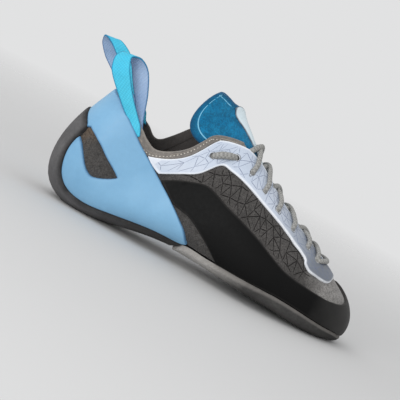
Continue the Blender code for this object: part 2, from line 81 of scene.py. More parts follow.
# %% Sizes and sections of the last
LAST_LENGTH = 0.236
INSTEP_HEIGHT = 0.120
BALL_WIDTH = 0.082
HEEL_REST_X = 0.032
UPPER_WALL = 0.0018
LAYER_GAP = 0.0006
SINK = 0.0002            # how far a panel sits in the one below it
INNER_GAP = 0.0009
EYESTAY_THICK = 0.0010
RAND_THICK = 0.0015
HEEL_STRIP_THICK = 0.0030
SOLE_THICK = 0.0052
SOLE_LIP = 0.0021
TONGUE_THICK = 0.0030
TONGUE_PANEL_THICK = 0.0008
EYELET_RADIUS = 0.0021
LACE_RADIUS = 0.0019
WEBBING_THICK = 0.0011
LAST = [
    # foot x, foot z, crest x, crest z, centre, outer, inner, level, floor, crown
    (1.000, 0.108, 1.000, 0.108, 0.120, 0.000, 0.000, 0.45, 2.2, 2.2),
    (0.994, 0.062, 0.994, 0.165, 0.120, 0.130, 0.125, 0.45, 2.3, 2.2),
    (0.975, 0.046, 0.974, 0.228, 0.115, 0.235, 0.210, 0.44, 2.6, 2.2),
    (0.932, 0.037, 0.931, 0.295, 0.100, 0.340, 0.290, 0.42, 3.0, 2.1),
    (0.873, 0.040, 0.869, 0.368, 0.075, 0.420, 0.355, 0.38, 3.2, 2.0),
    (0.788, 0.058, 0.780, 0.464, 0.045, 0.485, 0.425, 0.33, 3.3, 1.9),
    (0.686, 0.073, 0.678, 0.572, 0.015, 0.510, 0.465, 0.29, 3.2, 1.8),
    (0.568, 0.088, 0.589, 0.692, 0.000, 0.480, 0.440, 0.27, 2.9, 1.8),
    (0.440, 0.097, 0.530, 0.793, -0.005, 0.420, 0.380, 0.26, 2.6, 1.8),
    (0.314, 0.067, 0.492, 0.860, -0.005, 0.378, 0.354, 0.25, 2.4, 1.8),
    (0.195, 0.022, 0.468, 0.901, 0.000, 0.360, 0.354, 0.25, 2.4, 1.9),
    (0.100, 0.021, 0.453, 0.930, 0.000, 0.354, 0.354, 0.27, 2.3, 1.9),
    (0.034, 0.095, 0.443, 0.955, 0.000, 0.354, 0.354, 0.29, 2.3, 1.9),
    (0.011, 0.240, 0.434, 0.980, 0.000, 0.348, 0.348, 0.31, 2.3, 2.0),
    (0.020, 0.400, 0.426, 1.005, 0.000, 0.336, 0.336, 0.34, 2.2, 2.0),
    (0.050, 0.565, 0.417, 1.030, 0.000, 0.330, 0.330, 0.38, 2.1, 2.0),
    (0.085, 0.715, 0.407, 1.055, 0.000, 0.330, 0.330, 0.42, 2.0, 2.0),
    (0.106, 0.815, 0.398, 1.072, 0.000, 0.330, 0.330, 0.44, 2.0, 2.0),
]
unit = [LAST_LENGTH, INSTEP_HEIGHT, LAST_LENGTH, INSTEP_HEIGHT, BALL_WIDTH, BALL_WIDTH, BALL_WIDTH, 1, 1, 1]
SECTIONS = np.array(LAST) * np.array(unit)
SECTIONS[:, [0, 2]] -= HEEL_REST_X
move = np.abs(np.diff(SECTIONS, axis=0))
travel = 0.5 * np.hypot(move[:, 0], move[:, 1]) + 0.5 * np.hypot(move[:, 2], move[:, 3]) + 0.3 * move[:, 5]
KNOTS = np.concatenate([[0.0], np.cumsum(travel)]) / travel.sum()


def spline_bends(knots, rows):
    """Second derivatives of the natural cubic spline through the rows."""
    count = len(knots)
    step = np.diff(knots)
    matrix = np.eye(count)
    right = np.zeros_like(rows)
    for i in range(1, count - 1):
        matrix[i, i - 1:i + 2] = step[i - 1], 2 * (step[i - 1] + step[i]), step[i]
        right[i] = 6 * ((rows[i + 1] - rows[i]) / step[i] - (rows[i] - rows[i - 1]) / step[i - 1])
    return np.linalg.solve(matrix, right)


BENDS = spline_bends(KNOTS, SECTIONS)
SWEEP = np.linspace(0.0, np.pi, 97)
print("the last has", len(LAST), "sections")

# %% [markdown]
# The functions below take whole arrays of shares at once, so a panel of ten thousand points is bent onto
# the last in a moment. Soft creases and swells belong to the last too: then every layer follows them.

# %% A point of the last, and the direction out of it
ALONG_METRES = 0.33
AROUND_METRES = 0.11


def section_rows(along):
    """Rows of the last, interpolated at shares along it."""
    i = np.clip(np.searchsorted(KNOTS, along, side="right") - 1, 0, len(KNOTS) - 2)
    step = KNOTS[i + 1] - KNOTS[i]
    a = ((KNOTS[i + 1] - along) / step)[:, None]
    b = 1.0 - a
    bend = (a ** 3 - a) * BENDS[i] + (b ** 3 - b) * BENDS[i + 1]
    return a * SECTIONS[i] + b * SECTIONS[i + 1] + bend * (step ** 2 / 6)[:, None]


def skin(along, around):
    """Points on the last."""
    along = np.clip(along, 0.0, 1.0)
    around = (around + 1) % 2 - 1
    rows = section_rows(along)[:, :, None]
    foot_x, foot_z, crest_x, crest_z, centre, outer, inner, level, floor, crown = rows.transpose(1, 0, 2)
    half = np.where(around[:, None] < 0, outer, inner)
    low = SWEEP <= np.pi / 2
    power = 2 / np.where(low, floor, crown)
    reach = half * np.abs(np.sin(SWEEP)) ** power
    drop = np.abs(np.cos(SWEEP)) ** power
    rise = np.where(low, level * (1 - drop), level + (1 - level) * drop)
    height = np.hypot(crest_x - foot_x, crest_z - foot_z)
    steps = np.hypot(np.diff(reach, axis=1), np.diff(rise, axis=1) * height)
    girth = np.concatenate([np.zeros((len(along), 1)), np.cumsum(steps, axis=1)], axis=1)
    want = np.abs(around) * girth[:, -1]
    k = np.clip((girth <= want[:, None]).sum(axis=1) - 1, 0, len(SWEEP) - 2)
    n = np.arange(len(along))
    f = np.clip((want - girth[n, k]) / np.maximum(girth[n, k + 1] - girth[n, k], 1e-12), 0.0, 1.0)
    side = reach[n, k] * (1 - f) + reach[n, k + 1] * f
    up = rise[n, k] * (1 - f) + rise[n, k + 1] * f
    x = foot_x[:, 0] + (crest_x - foot_x)[:, 0] * up
    z = foot_z[:, 0] + (crest_z - foot_z)[:, 0] * up
    y = centre[:, 0] + np.where(around < 0, -side, side)
    return np.stack([x, y, z], axis=1)


def outward(along, around):
    """Unit directions out of the last; straight ahead at the very tip of the toe."""
    step = 1e-3
    here = np.clip(along, 4 * step, 1 - 2 * step)
    forward = skin(here + step, around) - skin(here - step, around)
    across = skin(here, around + step) - skin(here, around - step)
    out = np.cross(forward, across)
    out /= np.linalg.norm(out, axis=1, keepdims=True)
    out[along < 1e-6] = (1.0, 0.0, 0.0)
    return out


# Creases and swells: from (along, around) to (along, around), half width, height
FOLDS = [
    ((0.330, -0.570), (0.300, -0.760), 0.0050, -0.0007),
    ((0.375, -0.560), (0.352, -0.760), 0.0060, 0.0006),
    ((0.260, -0.520), (0.235, -0.700), 0.0045, -0.0005),
    ((0.655, -0.520), (0.600, -0.600), 0.0030, -0.0007),
    ((0.690, -0.500), (0.640, -0.575), 0.0024, 0.0005),
    ((0.560, -0.470), (0.300, -0.480), 0.0110, 0.0008),
    ((0.540, -0.360), (0.330, -0.420), 0.0080, -0.0006),
    ((0.760, -0.420), (0.640, -0.330), 0.0120, -0.0005),
    ((0.850, -0.260), (0.780, -0.300), 0.0100, 0.0005),
    ((0.330, 0.580), (0.300, 0.760), 0.0050, -0.0007),
    ((0.375, 0.560), (0.352, 0.760), 0.0060, 0.0006),
    ((0.560, 0.470), (0.300, 0.480), 0.0110, 0.0008),
    ((0.655, 0.520), (0.600, 0.600), 0.0030, -0.0007),
]


def folds(along, around):
    """Height of the creases and swells at each place."""
    spot = np.stack([along * ALONG_METRES, ((around + 1) % 2 - 1) * AROUND_METRES], axis=1)
    total = np.zeros(len(along))
    for start, end, width, height in FOLDS:
        a = np.array(start) * (ALONG_METRES, AROUND_METRES)
        b = np.array(end) * (ALONG_METRES, AROUND_METRES)
        t = np.clip((spot - a) @ (b - a) / ((b - a) @ (b - a)), 0.0, 1.0)
        away = np.linalg.norm(spot - a - t[:, None] * (b - a), axis=1)
        total += height * np.exp(-(away / width) ** 2) * (1 - (2 * t - 1) ** 6)
    return total


def lifted(along, around, lift):
    """Points off the last, pressed flat where they would pass the floor."""
    along = np.asarray(along, float)
    around = np.asarray(around, float)
    points = skin(along, around) + outward(along, around) * (lift + folds(along, around))[:, None]
    points[:, 2] = np.maximum(points[:, 2], 0.0)
    return points


def sole_face(along, around, lift):
    """The sole's outer face: thick below, a thin lip at the side. lift is its share of the thickness."""
    out = outward(along, around)
    down = np.clip(-out[:, 2] * 4.0, 0.0, 1.0)
    thick = np.stack([SOLE_LIP * lift, SOLE_LIP * lift, (SOLE_LIP + (SOLE_THICK - SOLE_LIP) * down) * lift],
                     axis=1)
    points = skin(along, around) + out * thick
    points[:, 2] = np.maximum(points[:, 2], 0.0)
    return points


print("heel at", np.round(skin(np.array([0.8]), np.array([0.0])), 4))

# %% [markdown]
# Panels are cut like leather: an outline is drawn on the flat chart of shares and filled with points, a few
# thin rows of them just inside the cut edge, so that the edge can be rounded, and an even spread further in,
# so that the sheet can bend. A Delaunay fill joins them; the usual Inset operator folds over itself in the
# narrow tips that shoe panels have. Then the sheet is laid on the last, extruded and
# given its two lifts. Halves that meet at the sole's middle or on the crest share their seam points.

# %% Curves on the chart
CHART = np.array([ALONG_METRES, AROUND_METRES])
CELL = 0.0032
EDGE_STEP = 0.0014
ROW_SHARE = 0.87         # height of a row of triangles, in cells
CLEARANCE = 0.4 * CELL
WELD = 0.0000005


def soft_curve(rows, steps, first=None, last=None):
    """A soft curve through rows. steps has the points of each stretch, first and last its ghosts."""
    pts = [np.array(p, float) for p in rows]
    before = 2 * pts[0] - pts[1] if first is None else np.array(first, float)
    after = 2 * pts[-1] - pts[-2] if last is None else np.array(last, float)
    pts = [before] + pts + [after]
    out = []
    for k, (a, b, c, d) in enumerate(zip(pts, pts[1:], pts[2:], pts[3:])):
        for u in np.arange(steps[k]) / steps[k]:
            out.append(0.5 * (2 * b + (c - a) * u + (2 * a - 5 * b + 4 * c - d) * u ** 2
                              + (3 * b - a - 3 * c + d) * u ** 3))
    out.append(pts[-2])
    return out


def smooth(edge):
    """A curve through an edge, a point about every EDGE_STEP. It meets the middle and the crest squarely."""
    runs = [np.linalg.norm((np.array(q) - p) * CHART) for p, q in zip(edge, edge[1:])]
    steps = [max(1, math.ceil(run / EDGE_STEP)) for run in runs]
    ghosts = []
    for end, near in ((edge[0], edge[1]), (edge[-1], edge[-2])):
        square = end[1] in (0.0, 1.0, -1.0) and near[1] != end[1]
        ghosts.append((near[0], 2 * end[1] - near[1]) if square else None)
    return [tuple(p) for p in soft_curve(edge, steps, *ghosts)]


def outline(*edges):
    """One closed outline from edges that are each smoothed by themselves."""
    points = []
    for edge in edges:
        for p in smooth(edge):
            if not points or np.linalg.norm((np.array(p) - points[-1]) * CHART) > 0.0002:
                points.append(p)
    return points


def shifted(edge, along=0.0, around=0.0):
    """The edge moved on the chart."""
    return [(a + along, r + around) for a, r in edge]


def mirrored(edge):
    """The edge on the other side of the shoe."""
    return [(a, -r) for a, r in edge]


def over_crest(edge):
    """The edge mirrored over the crest, on a chart that goes on past it."""
    return [(a, -2 - r) for a, r in edge]


def offset(edge, metres):
    """The edge moved sideways on the chart, to its left for a positive number."""
    pts = np.array(edge) * CHART
    way = np.gradient(pts, axis=0)
    way /= np.maximum(np.linalg.norm(way, axis=1, keepdims=True), 1e-9)
    moved = pts + np.stack([-way[:, 1], way[:, 0]], axis=1) * metres
    return [tuple(p) for p in moved / CHART]


def away_from(points, starts, ends):
    """Distance from each point to the nearest of a set of straight pieces."""
    best = np.full(len(points), 1.0)
    for p, q in zip(starts, ends):
        way = q - p
        t = np.clip((points - p) @ way / max(way @ way, 1e-16), 0.0, 1.0)
        best = np.minimum(best, np.linalg.norm(points - p - t[:, None] * way, axis=1))
    return best


def inside(points, corners):
    """Which points lie inside a closed outline, by counting the edges to their right."""
    result = np.zeros(len(points), bool)
    x, y = points[:, 0], points[:, 1]
    for (x0, y0), (x1, y1) in zip(corners, np.roll(corners, -1, axis=0)):
        if y0 == y1:
            continue
        crosses = (y0 > y) != (y1 > y)
        result ^= crosses & (x < x0 + (y - y0) * (x1 - x0) / (y1 - y0))
    return result


print("one cell is", CELL * 1000, "mm")

# %% [markdown]
# The cutter itself. A seam gets the same points on both halves, and only a true cut edge gets the thin rows.

# %% Cutting one sheet on the chart


def on_seam(p, q):
    """Whether a piece of outline lies on the sole's middle, on the crest or at the toe's tip."""
    return (p[0] == q[0] == 0.0) or (p[1] == q[1] and abs(p[1]) in (0.0, 1.0))


def close_up(polygon, rings):
    """The outline in metres with its long pieces divided, and which of its pieces are cut edges."""
    points, is_cut = [], []
    for p, q in zip(polygon, polygon[1:] + polygon[:1]):
        a, b = np.array(p) * CHART, np.array(q) * CHART
        long = np.linalg.norm(b - a)
        if long < 1e-7:
            continue
        seam = on_seam(p, q)
        marks = [0.0]
        if seam and long > 3 * rings[-1]:
            marks = [0.0] + list(rings) + [long - r for r in rings[::-1]]
        grown = []
        for s, t in zip(marks, marks[1:] + [long]):
            count = max(1, math.ceil((t - s) / (EDGE_STEP * 1.5)))
            grown += list(s + (t - s) * np.arange(count) / count)
        points += [a + (b - a) * s / long for s in grown]
        is_cut += [not seam] * len(grown)
    return np.array(points), np.array(is_cut)


def cut_sheet(polygon, rings):
    """Points of a sheet in metres of the chart, its triangles, and each point's gap to the cut edge."""
    points, is_cut = close_up(polygon, rings)
    ends = np.roll(points, -1, axis=0)
    cut_starts, cut_ends = points[is_cut], ends[is_cut]
    area = np.sum(points[:, 0] * ends[:, 1] - ends[:, 0] * points[:, 1])
    inner_side = -1.0 if area < 0 else 1.0
    way = (ends - points) / np.linalg.norm(ends - points, axis=1, keepdims=True)
    normal = np.stack([-way[:, 1], way[:, 0]], axis=1) * inner_side
    before = np.roll(normal, 1, axis=0)
    both = normal + before
    both /= np.maximum(np.linalg.norm(both, axis=1, keepdims=True), 1e-9)
    reach = 1.0 / np.maximum(np.sum(both * normal, axis=1), 0.4)
    corner = is_cut & np.roll(is_cut, 1)
    kept = [points]
    for ring in rings:
        spots = (points + both * (ring * reach)[:, None])[corner]
        good = inside(spots, points) & (away_from(spots, cut_starts, cut_ends) > 0.94 * ring)
        spots = spots[good]
        taken = np.concatenate(kept)
        fresh = []
        for spot in spots:
            near = np.min(np.linalg.norm(taken - spot, axis=1))
            alone = not fresh or np.min(np.linalg.norm(np.array(fresh) - spot, axis=1)) > 0.4 * EDGE_STEP
            if near > 0.45 * rings[0] and alone:
                fresh.append(spot)
        if fresh:
            kept.append(np.array(fresh))
    low, high = points.min(axis=0), points.max(axis=0)
    rows = np.arange(math.floor(low[1] / CELL) * CELL, high[1], CELL * ROW_SHARE)
    spread = []
    for k, y in enumerate(rows):
        xs = np.arange(math.floor(low[0] / CELL) * CELL + (k % 2) * CELL / 2, high[0], CELL)
        spread.append(np.stack([xs, np.full(len(xs), y)], axis=1))
    spread = np.concatenate(spread)
    spread = spread[inside(spread, points)]
    spread = spread[away_from(spread, cut_starts, cut_ends) > rings[-1] + CLEARANCE]
    spread = spread[away_from(spread, points, ends) > CLEARANCE]
    kept.append(spread)
    cloud = np.concatenate(kept) * 1000
    face = list(range(len(points)))
    filled = geometry.delaunay_2d_cdt([Vector(p) for p in cloud], [], [face], 0, 1e-6, False)
    verts = np.array([v[:] for v in filled[0]]) / 1000
    faces = np.array(filled[2])
    faces = faces[inside(verts[faces].mean(axis=1), points)]
    return verts, faces, away_from(verts, cut_starts, cut_ends)


def rounding(gap, width, depth):
    """How far a rounded edge drops at a distance from it."""
    t = np.clip(1 - gap / width, 0.0, 1.0)
    return depth * (1 - np.sqrt(1 - t * t))


# %% [markdown]
# A sheet on the last keeps three numbers at each point: its two shares and its distance to the cut edge.
# The finishes read the first and the last, so that an edge colour can follow an edge (wear on most finishes,
# painted shade on the blue rubber and the heel strip, a painted highlight on the eyestay) and colours can
# change along the shoe.

# %% Laying sheets on the last


def panel(sheets, inner, outer, edge=(0.0008, 0.0006), face=lifted, both=False, shape=None):
    """A closed sheet on the last, between two lifts, with a rounded edge (width, depth)."""
    bm = bmesh.new()
    width, depth = edge
    names = ("along", "round", "edge")
    layers = [bm.verts.layers.float.new(name) for name in names]
    for polygon in sheets:
        spots, faces, gaps = cut_sheet(polygon, [width * 0.2, width * 0.5, width])
        places = skin(spots[:, 0] / ALONG_METRES, spots[:, 1] / AROUND_METRES)
        made = []
        for (u, v), gap, place in zip(spots, gaps, places):
            vert = bm.verts.new(place)
            vert[layers[0]] = u / ALONG_METRES
            vert[layers[1]] = v / AROUND_METRES
            vert[layers[2]] = gap
            made.append(vert)
        for corners in faces:
            bm.faces.new([made[k] for k in corners])
        for vert in [v for v in made if not v.link_faces]:
            bm.verts.remove(vert)
    bmesh.ops.remove_doubles(bm, verts=bm.verts[:], dist=WELD)
    bmesh.ops.recalc_face_normals(bm, faces=bm.faces[:])
    lower = bm.verts[:]
    made = bmesh.ops.extrude_face_region(bm, geom=bm.faces[:], use_keep_orig=True)
    upper_verts = [g for g in made["geom"] if isinstance(g, bmesh.types.BMVert)]
    for verts, lift, rounded in ((upper_verts, outer, True), (lower, inner, both)):
        a, r, gap = (np.array([v[layer] for v in verts]) for layer in layers)
        height = np.full(len(a), float(lift))
        if rounded:
            height += rounding(gap, width, depth) * (-1 if verts is upper_verts else 1)
        if shape and verts is upper_verts:
            height += shape(a, r, gap)
        for vert, place in zip(verts, face(a, r, height)):
            vert.co = place
    top = set(upper_verts)
    uv = bm.loops.layers.uv.new("chart")
    for poly in bm.faces:
        poly.material_index = 0 if any(v in top for v in poly.verts) else 1
        rounds = [v[layers[1]] for v in poly.verts]
        wrap = 2.0 if max(rounds) - min(rounds) > 1.0 else 0.0
        for loop in poly.loops:
            turn_share = loop.vert[layers[1]]
            loop[uv].uv = (loop.vert[layers[0]] * ALONG_METRES,
                           (turn_share + (wrap if turn_share < 0 else 0.0)) * AROUND_METRES)
    bmesh.ops.dissolve_degenerate(bm, dist=0.0000002, edges=bm.edges[:])
    bmesh.ops.recalc_face_normals(bm, faces=bm.faces[:])
    return bm


def piece(name, bm, materials, replaces=(), sharp=0.7):
    """The finished object of a mesh, riding on the shoe."""
    if len(materials) == 1:
        for poly in bm.faces:
            poly.material_index = 0
    mesh = bpy.data.meshes.new(name)
    bm.to_mesh(mesh)
    bm.free()
    obj = bpy.data.objects.new(name, mesh)
    bpy.context.scene.collection.objects.link(obj)
    for material in materials:
        mesh.materials.append(material)
    mesh.shade_smooth()
    mesh.set_sharp_from_angle(angle=sharp)
    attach(obj, "root")
    if replaces:
        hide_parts(*replaces)
    print(name, len(mesh.polygons), "faces")
    return obj


# %% [markdown]
# The edges of the panels, as (along, around) on the outer side. The inner side mirrors them, apart from the
# collar beside the tongue and the top of the toe's rubber, which rise higher there.

# %% Edges of the panels
RIM = [(0.968, 0.000), (0.962, -0.100), (0.930, -0.260), (0.893, -0.390), (0.848, -0.483), (0.810, -0.529),
       (0.779, -0.557), (0.755, -0.620), (0.744, -0.677), (0.745, -0.740), (0.746, -0.790), (0.719, -0.828),
       (0.640, -0.882)]
BINDING_FOOT = [(0.940, 0.000), (0.932, -0.100), (0.897, -0.260), (0.858, -0.390), (0.815, -0.470),
                (0.776, -0.509), (0.738, -0.585), (0.721, -0.640), (0.717, -0.701), (0.716, -0.772),
                (0.698, -0.808), (0.600, -0.878)]
RIM_INNER = RIM[:6] + [(0.799, -0.557), (0.797, -0.600), (0.798, -0.650), (0.800, -0.695), (0.796, -0.740),
                       (0.776, -0.790), (0.735, -0.828), (0.640, -0.882)]
BINDING_FOOT_INNER = BINDING_FOOT[:6] + [(0.767, -0.545), (0.766, -0.590), (0.767, -0.640), (0.769, -0.690),
                                         (0.766, -0.735), (0.748, -0.775), (0.709, -0.808), (0.600, -0.878)]
THROAT = [(0.545, -0.900), (0.484, -0.926), (0.380, -0.934), (0.280, -0.934), (0.222, -0.945),
          (0.200, -0.970), (0.195, -1.000)]
EYESTAY_FOOT = [(0.719, -0.487), (0.682, -0.545), (0.650, -0.597), (0.625, -0.700), (0.584, -0.715),
                (0.510, -0.733), (0.441, -0.747), (0.382, -0.758), (0.323, -0.749), (0.268, -0.719),
                (0.258, -0.683), (0.229, -0.668), (0.178, -0.719), (0.162, -0.826), (0.158, -1.000)]
HEEL_RAND_FRONT = [(0.968, 0.000), (0.962, -0.100), (0.938, -0.236), (0.892, -0.366), (0.842, -0.458),
                   (0.798, -0.503), (0.758, -0.504), (0.714, -0.475), (0.670, -0.431), (0.629, -0.384),
                   (0.594, -0.341), (0.565, -0.302), (0.543, -0.246)]
STRIP_EDGE = [(0.551, -0.222), (0.571, -0.204), (0.637, -0.188), (0.700, -0.176), (0.748, -0.152),
              (0.773, -0.141), (0.793, -0.143), (0.815, -0.152), (0.843, -0.164), (0.862, -0.186),
              (0.878, -0.188), (0.897, -0.140), (0.915, -0.066), (0.922, 0.000)]
WINDOW_REAR = [(0.858, -0.190), (0.839, -0.228), (0.818, -0.251), (0.801, -0.259), (0.789, -0.262),
               (0.780, -0.267), (0.774, -0.280), (0.768, -0.299), (0.761, -0.326), (0.757, -0.346)]
WINDOW_FRONT = [(0.757, -0.352), (0.775, -0.361), (0.798, -0.355), (0.826, -0.326), (0.854, -0.271),
                (0.876, -0.214)]
TOE_RAND_TOP_OUTER = [(0.699, -0.466), (0.677, -0.502), (0.644, -0.539), (0.608, -0.569), (0.568, -0.569),
                      (0.524, -0.562), (0.463, -0.570), (0.402, -0.569), (0.350, -0.552), (0.300, -0.538),
                      (0.245, -0.550), (0.189, -0.573), (0.142, -0.608), (0.104, -0.680), (0.087, -0.820),
                      (0.092, -1.000)]
TOE_RAND_TOP_INNER = [(0.699, 0.466), (0.684, 0.493), (0.644, 0.539), (0.608, 0.568), (0.568, 0.569),
                      (0.467, 0.574), (0.380, 0.572), (0.300, 0.580), (0.225, 0.625), (0.172, 0.680),
                      (0.150, 0.760), (0.140, 0.840), (0.118, 0.930), (0.092, 1.000)]
TOE_RAND_REAR = [(0.699, -0.466), (0.662, -0.424), (0.632, -0.389), (0.604, -0.382), (0.578, -0.378),
                 (0.545, -0.359), (0.504, -0.331), (0.473, -0.300)]
SOLE_TOP = [(0.561, 0.000), (0.561, -0.130), (0.545, -0.222), (0.493, -0.257), (0.440, -0.303),
            (0.370, -0.350), (0.302, -0.383), (0.200, -0.400), (0.120, -0.392), (0.071, -0.360),
            (0.046, -0.290), (0.034, -0.180), (0.030, 0.000)]
UNDERFOOT = [(0.080, 0.000), (0.088, -0.050), (0.130, -0.090), (0.250, -0.120), (0.450, -0.110),
             (0.600, -0.085), (0.700, -0.080), (0.755, -0.060), (0.775, 0.000)]
TONGUE_EDGE = [(0.180, -1.000), (0.185, -0.900), (0.230, -0.850), (0.400, -0.800), (0.600, -0.760),
               (0.720, -0.730), (0.800, -0.715), (0.860, -0.715), (0.905, -0.742), (0.938, -0.785),
               (0.940, -0.820), (0.905, -0.880), (0.850, -0.940), (0.815, -1.000)]
TONGUE_PANEL_EDGE = [(0.300, -1.000), (0.305, -0.960), (0.560, -0.952), (0.700, -0.940), (0.800, -0.925),
                     (0.836, -0.935), (0.828, -0.965), (0.800, -1.000)]
EYELETS = [(0.231, -0.806), (0.270, -0.820), (0.330, -0.818), (0.392, -0.816), (0.456, -0.812),
           (0.528, -0.806), (0.608, -0.788), (0.672, -0.712)]
print("edges ready")

# %% [markdown]
# The finishes. Noise, weave and edge colours turn up in more than one material, so each is a small node
# group that is built once. An edge colour is wear on most finishes, painted shade on the blue rubber and the
# heel strip, and a painted highlight on the eyestay. A group only gives out numbers that change over the
# surface. The shader itself stays in the material.

# %% Node groups for finishes


def new_group(name, numbers, outputs):
    """An empty node group that takes a vector and numbers, and gives numbers."""
    group = bpy.data.node_groups.new(name, "ShaderNodeTree")
    group.interface.new_socket("Vector", in_out="INPUT", socket_type="NodeSocketVector")
    for label, value in numbers.items():
        socket = group.interface.new_socket(label, in_out="INPUT", socket_type="NodeSocketFloat")
        socket.default_value = value
    for label in outputs:
        group.interface.new_socket(label, in_out="OUTPUT", socket_type="NodeSocketFloat")
    return group, group.nodes.new("NodeGroupInput"), group.nodes.new("NodeGroupOutput")


def maths(tree, operation, a, b=None, clamp=False):
    """A Math node. Each of a and b is a number or a socket."""
    node = tree.nodes.new("ShaderNodeMath")
    node.operation = operation
    node.use_clamp = clamp
    for socket, value in zip(node.inputs, (a, b)):
        if value is None:
            continue
        if isinstance(value, (int, float)):
            socket.default_value = value
        else:
            tree.links.new(value, socket)
    return node.outputs[0]


def noise(tree, vector, scale, detail=2.0, rough=0.5):
    """The value of a Noise texture."""
    node = tree.nodes.new("ShaderNodeTexNoise")
    node.inputs["Detail"].default_value = detail
    node.inputs["Roughness"].default_value = rough
    tree.links.new(vector, node.inputs["Vector"])
    if isinstance(scale, (int, float)):
        node.inputs["Scale"].default_value = scale
    else:
        tree.links.new(scale, node.inputs["Scale"])
    return node.outputs["Fac"]


def grain_group():
    """Fine grain: a height, and a mask that lightens the tops of the grain."""
    group, inp, out = new_group("grain", {"Scale": 900.0}, ["Height", "Mask"])
    fine = noise(group, inp.outputs["Vector"], inp.outputs["Scale"], 3.0, 0.65)
    coarse = noise(group, inp.outputs["Vector"], maths(group, "MULTIPLY", inp.outputs["Scale"], 0.31), 2.0)
    both = maths(group, "ADD", maths(group, "MULTIPLY", fine, 0.6), maths(group, "MULTIPLY", coarse, 0.4))
    group.links.new(both, out.inputs["Height"])
    sharp = maths(group, "MULTIPLY", maths(group, "SUBTRACT", both, 0.42), 6.0, clamp=True)
    group.links.new(sharp, out.inputs["Mask"])
    return group


def mottle_group():
    """Broad patches, from 0 to 1, for uneven colour, dust and rubbing."""
    group, inp, out = new_group("mottle", {"Scale": 40.0}, ["Mask"])
    broad = noise(group, inp.outputs["Vector"], inp.outputs["Scale"], 4.0, 0.55)
    group.links.new(maths(group, "MULTIPLY", maths(group, "SUBTRACT", broad, 0.3), 2.5, clamp=True),
                    out.inputs["Mask"])
    return group


def edge_wear_and_light_group():
    """1 at a panel's cut edge, fading to 0 over Width metres, broken up a little. It carries wear on most
    finishes, painted shade on the blue rubber and the heel strip, and a painted highlight on the eyestay's
    rim.
    """
    group, inp, out = new_group("edge wear and light", {"Width": 0.001}, ["Mask"])
    gap = group.nodes.new("ShaderNodeAttribute")
    gap.attribute_name = "edge"
    share = maths(group, "DIVIDE", gap.outputs["Fac"], inp.outputs["Width"])
    near = maths(group, "SUBTRACT", 1.0, share, True)
    broken = noise(group, inp.outputs["Vector"], 260.0, 3.0)
    group.links.new(maths(group, "MULTIPLY", near, maths(group, "ADD", broken, 0.45), True),
                    out.inputs["Mask"])
    return group


def weave_group():
    """Over-and-under threads on a flat map in metres: a height that is 1 on the threads, 0 between them."""
    group, inp, out = new_group("weave", {"Pitch": 0.0009}, ["Height"])
    parts = group.nodes.new("ShaderNodeSeparateXYZ")
    group.links.new(inp.outputs["Vector"], parts.inputs[0])
    waves = []
    for axis in ("X", "Y"):
        turns = maths(group, "DIVIDE", parts.outputs[axis], inp.outputs["Pitch"])
        waves.append(maths(group, "SINE", maths(group, "MULTIPLY", turns, math.pi)))
    crossing = maths(group, "MULTIPLY", waves[0], waves[1])
    group.links.new(maths(group, "ADD", maths(group, "MULTIPLY", crossing, 0.5), 0.5), out.inputs["Height"])
    return group


def stretch_group():
    """0 before one share along the shoe and 1 after another, with a wandering border."""
    group, inp, out = new_group("stretch", {"From": 0.2, "To": 0.3}, ["Mask"])
    along = group.nodes.new("ShaderNodeAttribute")
    along.attribute_name = "along"
    drift = noise(group, inp.outputs["Vector"], 90.0, 3.0)
    wander = maths(group, "MULTIPLY", maths(group, "SUBTRACT", drift, 0.5), 0.06)
    place = maths(group, "SUBTRACT", maths(group, "ADD", along.outputs["Fac"], wander), inp.outputs["From"])
    reach = maths(group, "SUBTRACT", inp.outputs["To"], inp.outputs["From"])
    group.links.new(maths(group, "DIVIDE", place, reach, clamp=True), out.inputs["Mask"])
    return group


GROUPS = {"grain": grain_group(), "mottle": mottle_group(), "edge wear and light": edge_wear_and_light_group(),
          "weave": weave_group(), "stretch": stretch_group()}
print("node groups:", sorted(GROUPS))

# %% [markdown]
# One recipe serves all the finishes. A base colour drifts to a second colour in broad patches, the grain
# lightens and roughens it, and the cut edge shows a third colour: wear on most finishes, painted shade on the
# blue rubber and the heel strip, a painted highlight on the eyestay. What differs is the numbers: suede has a
# deep nap and no gloss, rubber a faint grain and a broad soft gloss.

# %% The recipe for a material
BLACK = (0.0, 0.0, 0.0, 1.0)
BUMP_HEIGHT = 0.0004


def shade(rgb):
    """Linear colour from the eight-bit colour that a picture shows."""
    return tuple(((c / 255.0 + 0.055) / 1.055) ** 2.4 if c > 10 else c / 3294.6 for c in rgb) + (1.0,)


def blend_colour(tree, factor, a, b):
    """A colour between a and b. Each argument is a value or a socket."""
    node = tree.nodes.new("ShaderNodeMix")
    node.data_type = "RGBA"
    sockets = {s.identifier: s for s in node.inputs}
    for label, value in (("Factor_Float", factor), ("A_Color", a), ("B_Color", b)):
        if isinstance(value, bpy.types.NodeSocket):
            tree.links.new(value, sockets[label])
        else:
            sockets[label].default_value = value
    return [s for s in node.outputs if s.identifier == "Result_Color"][0]


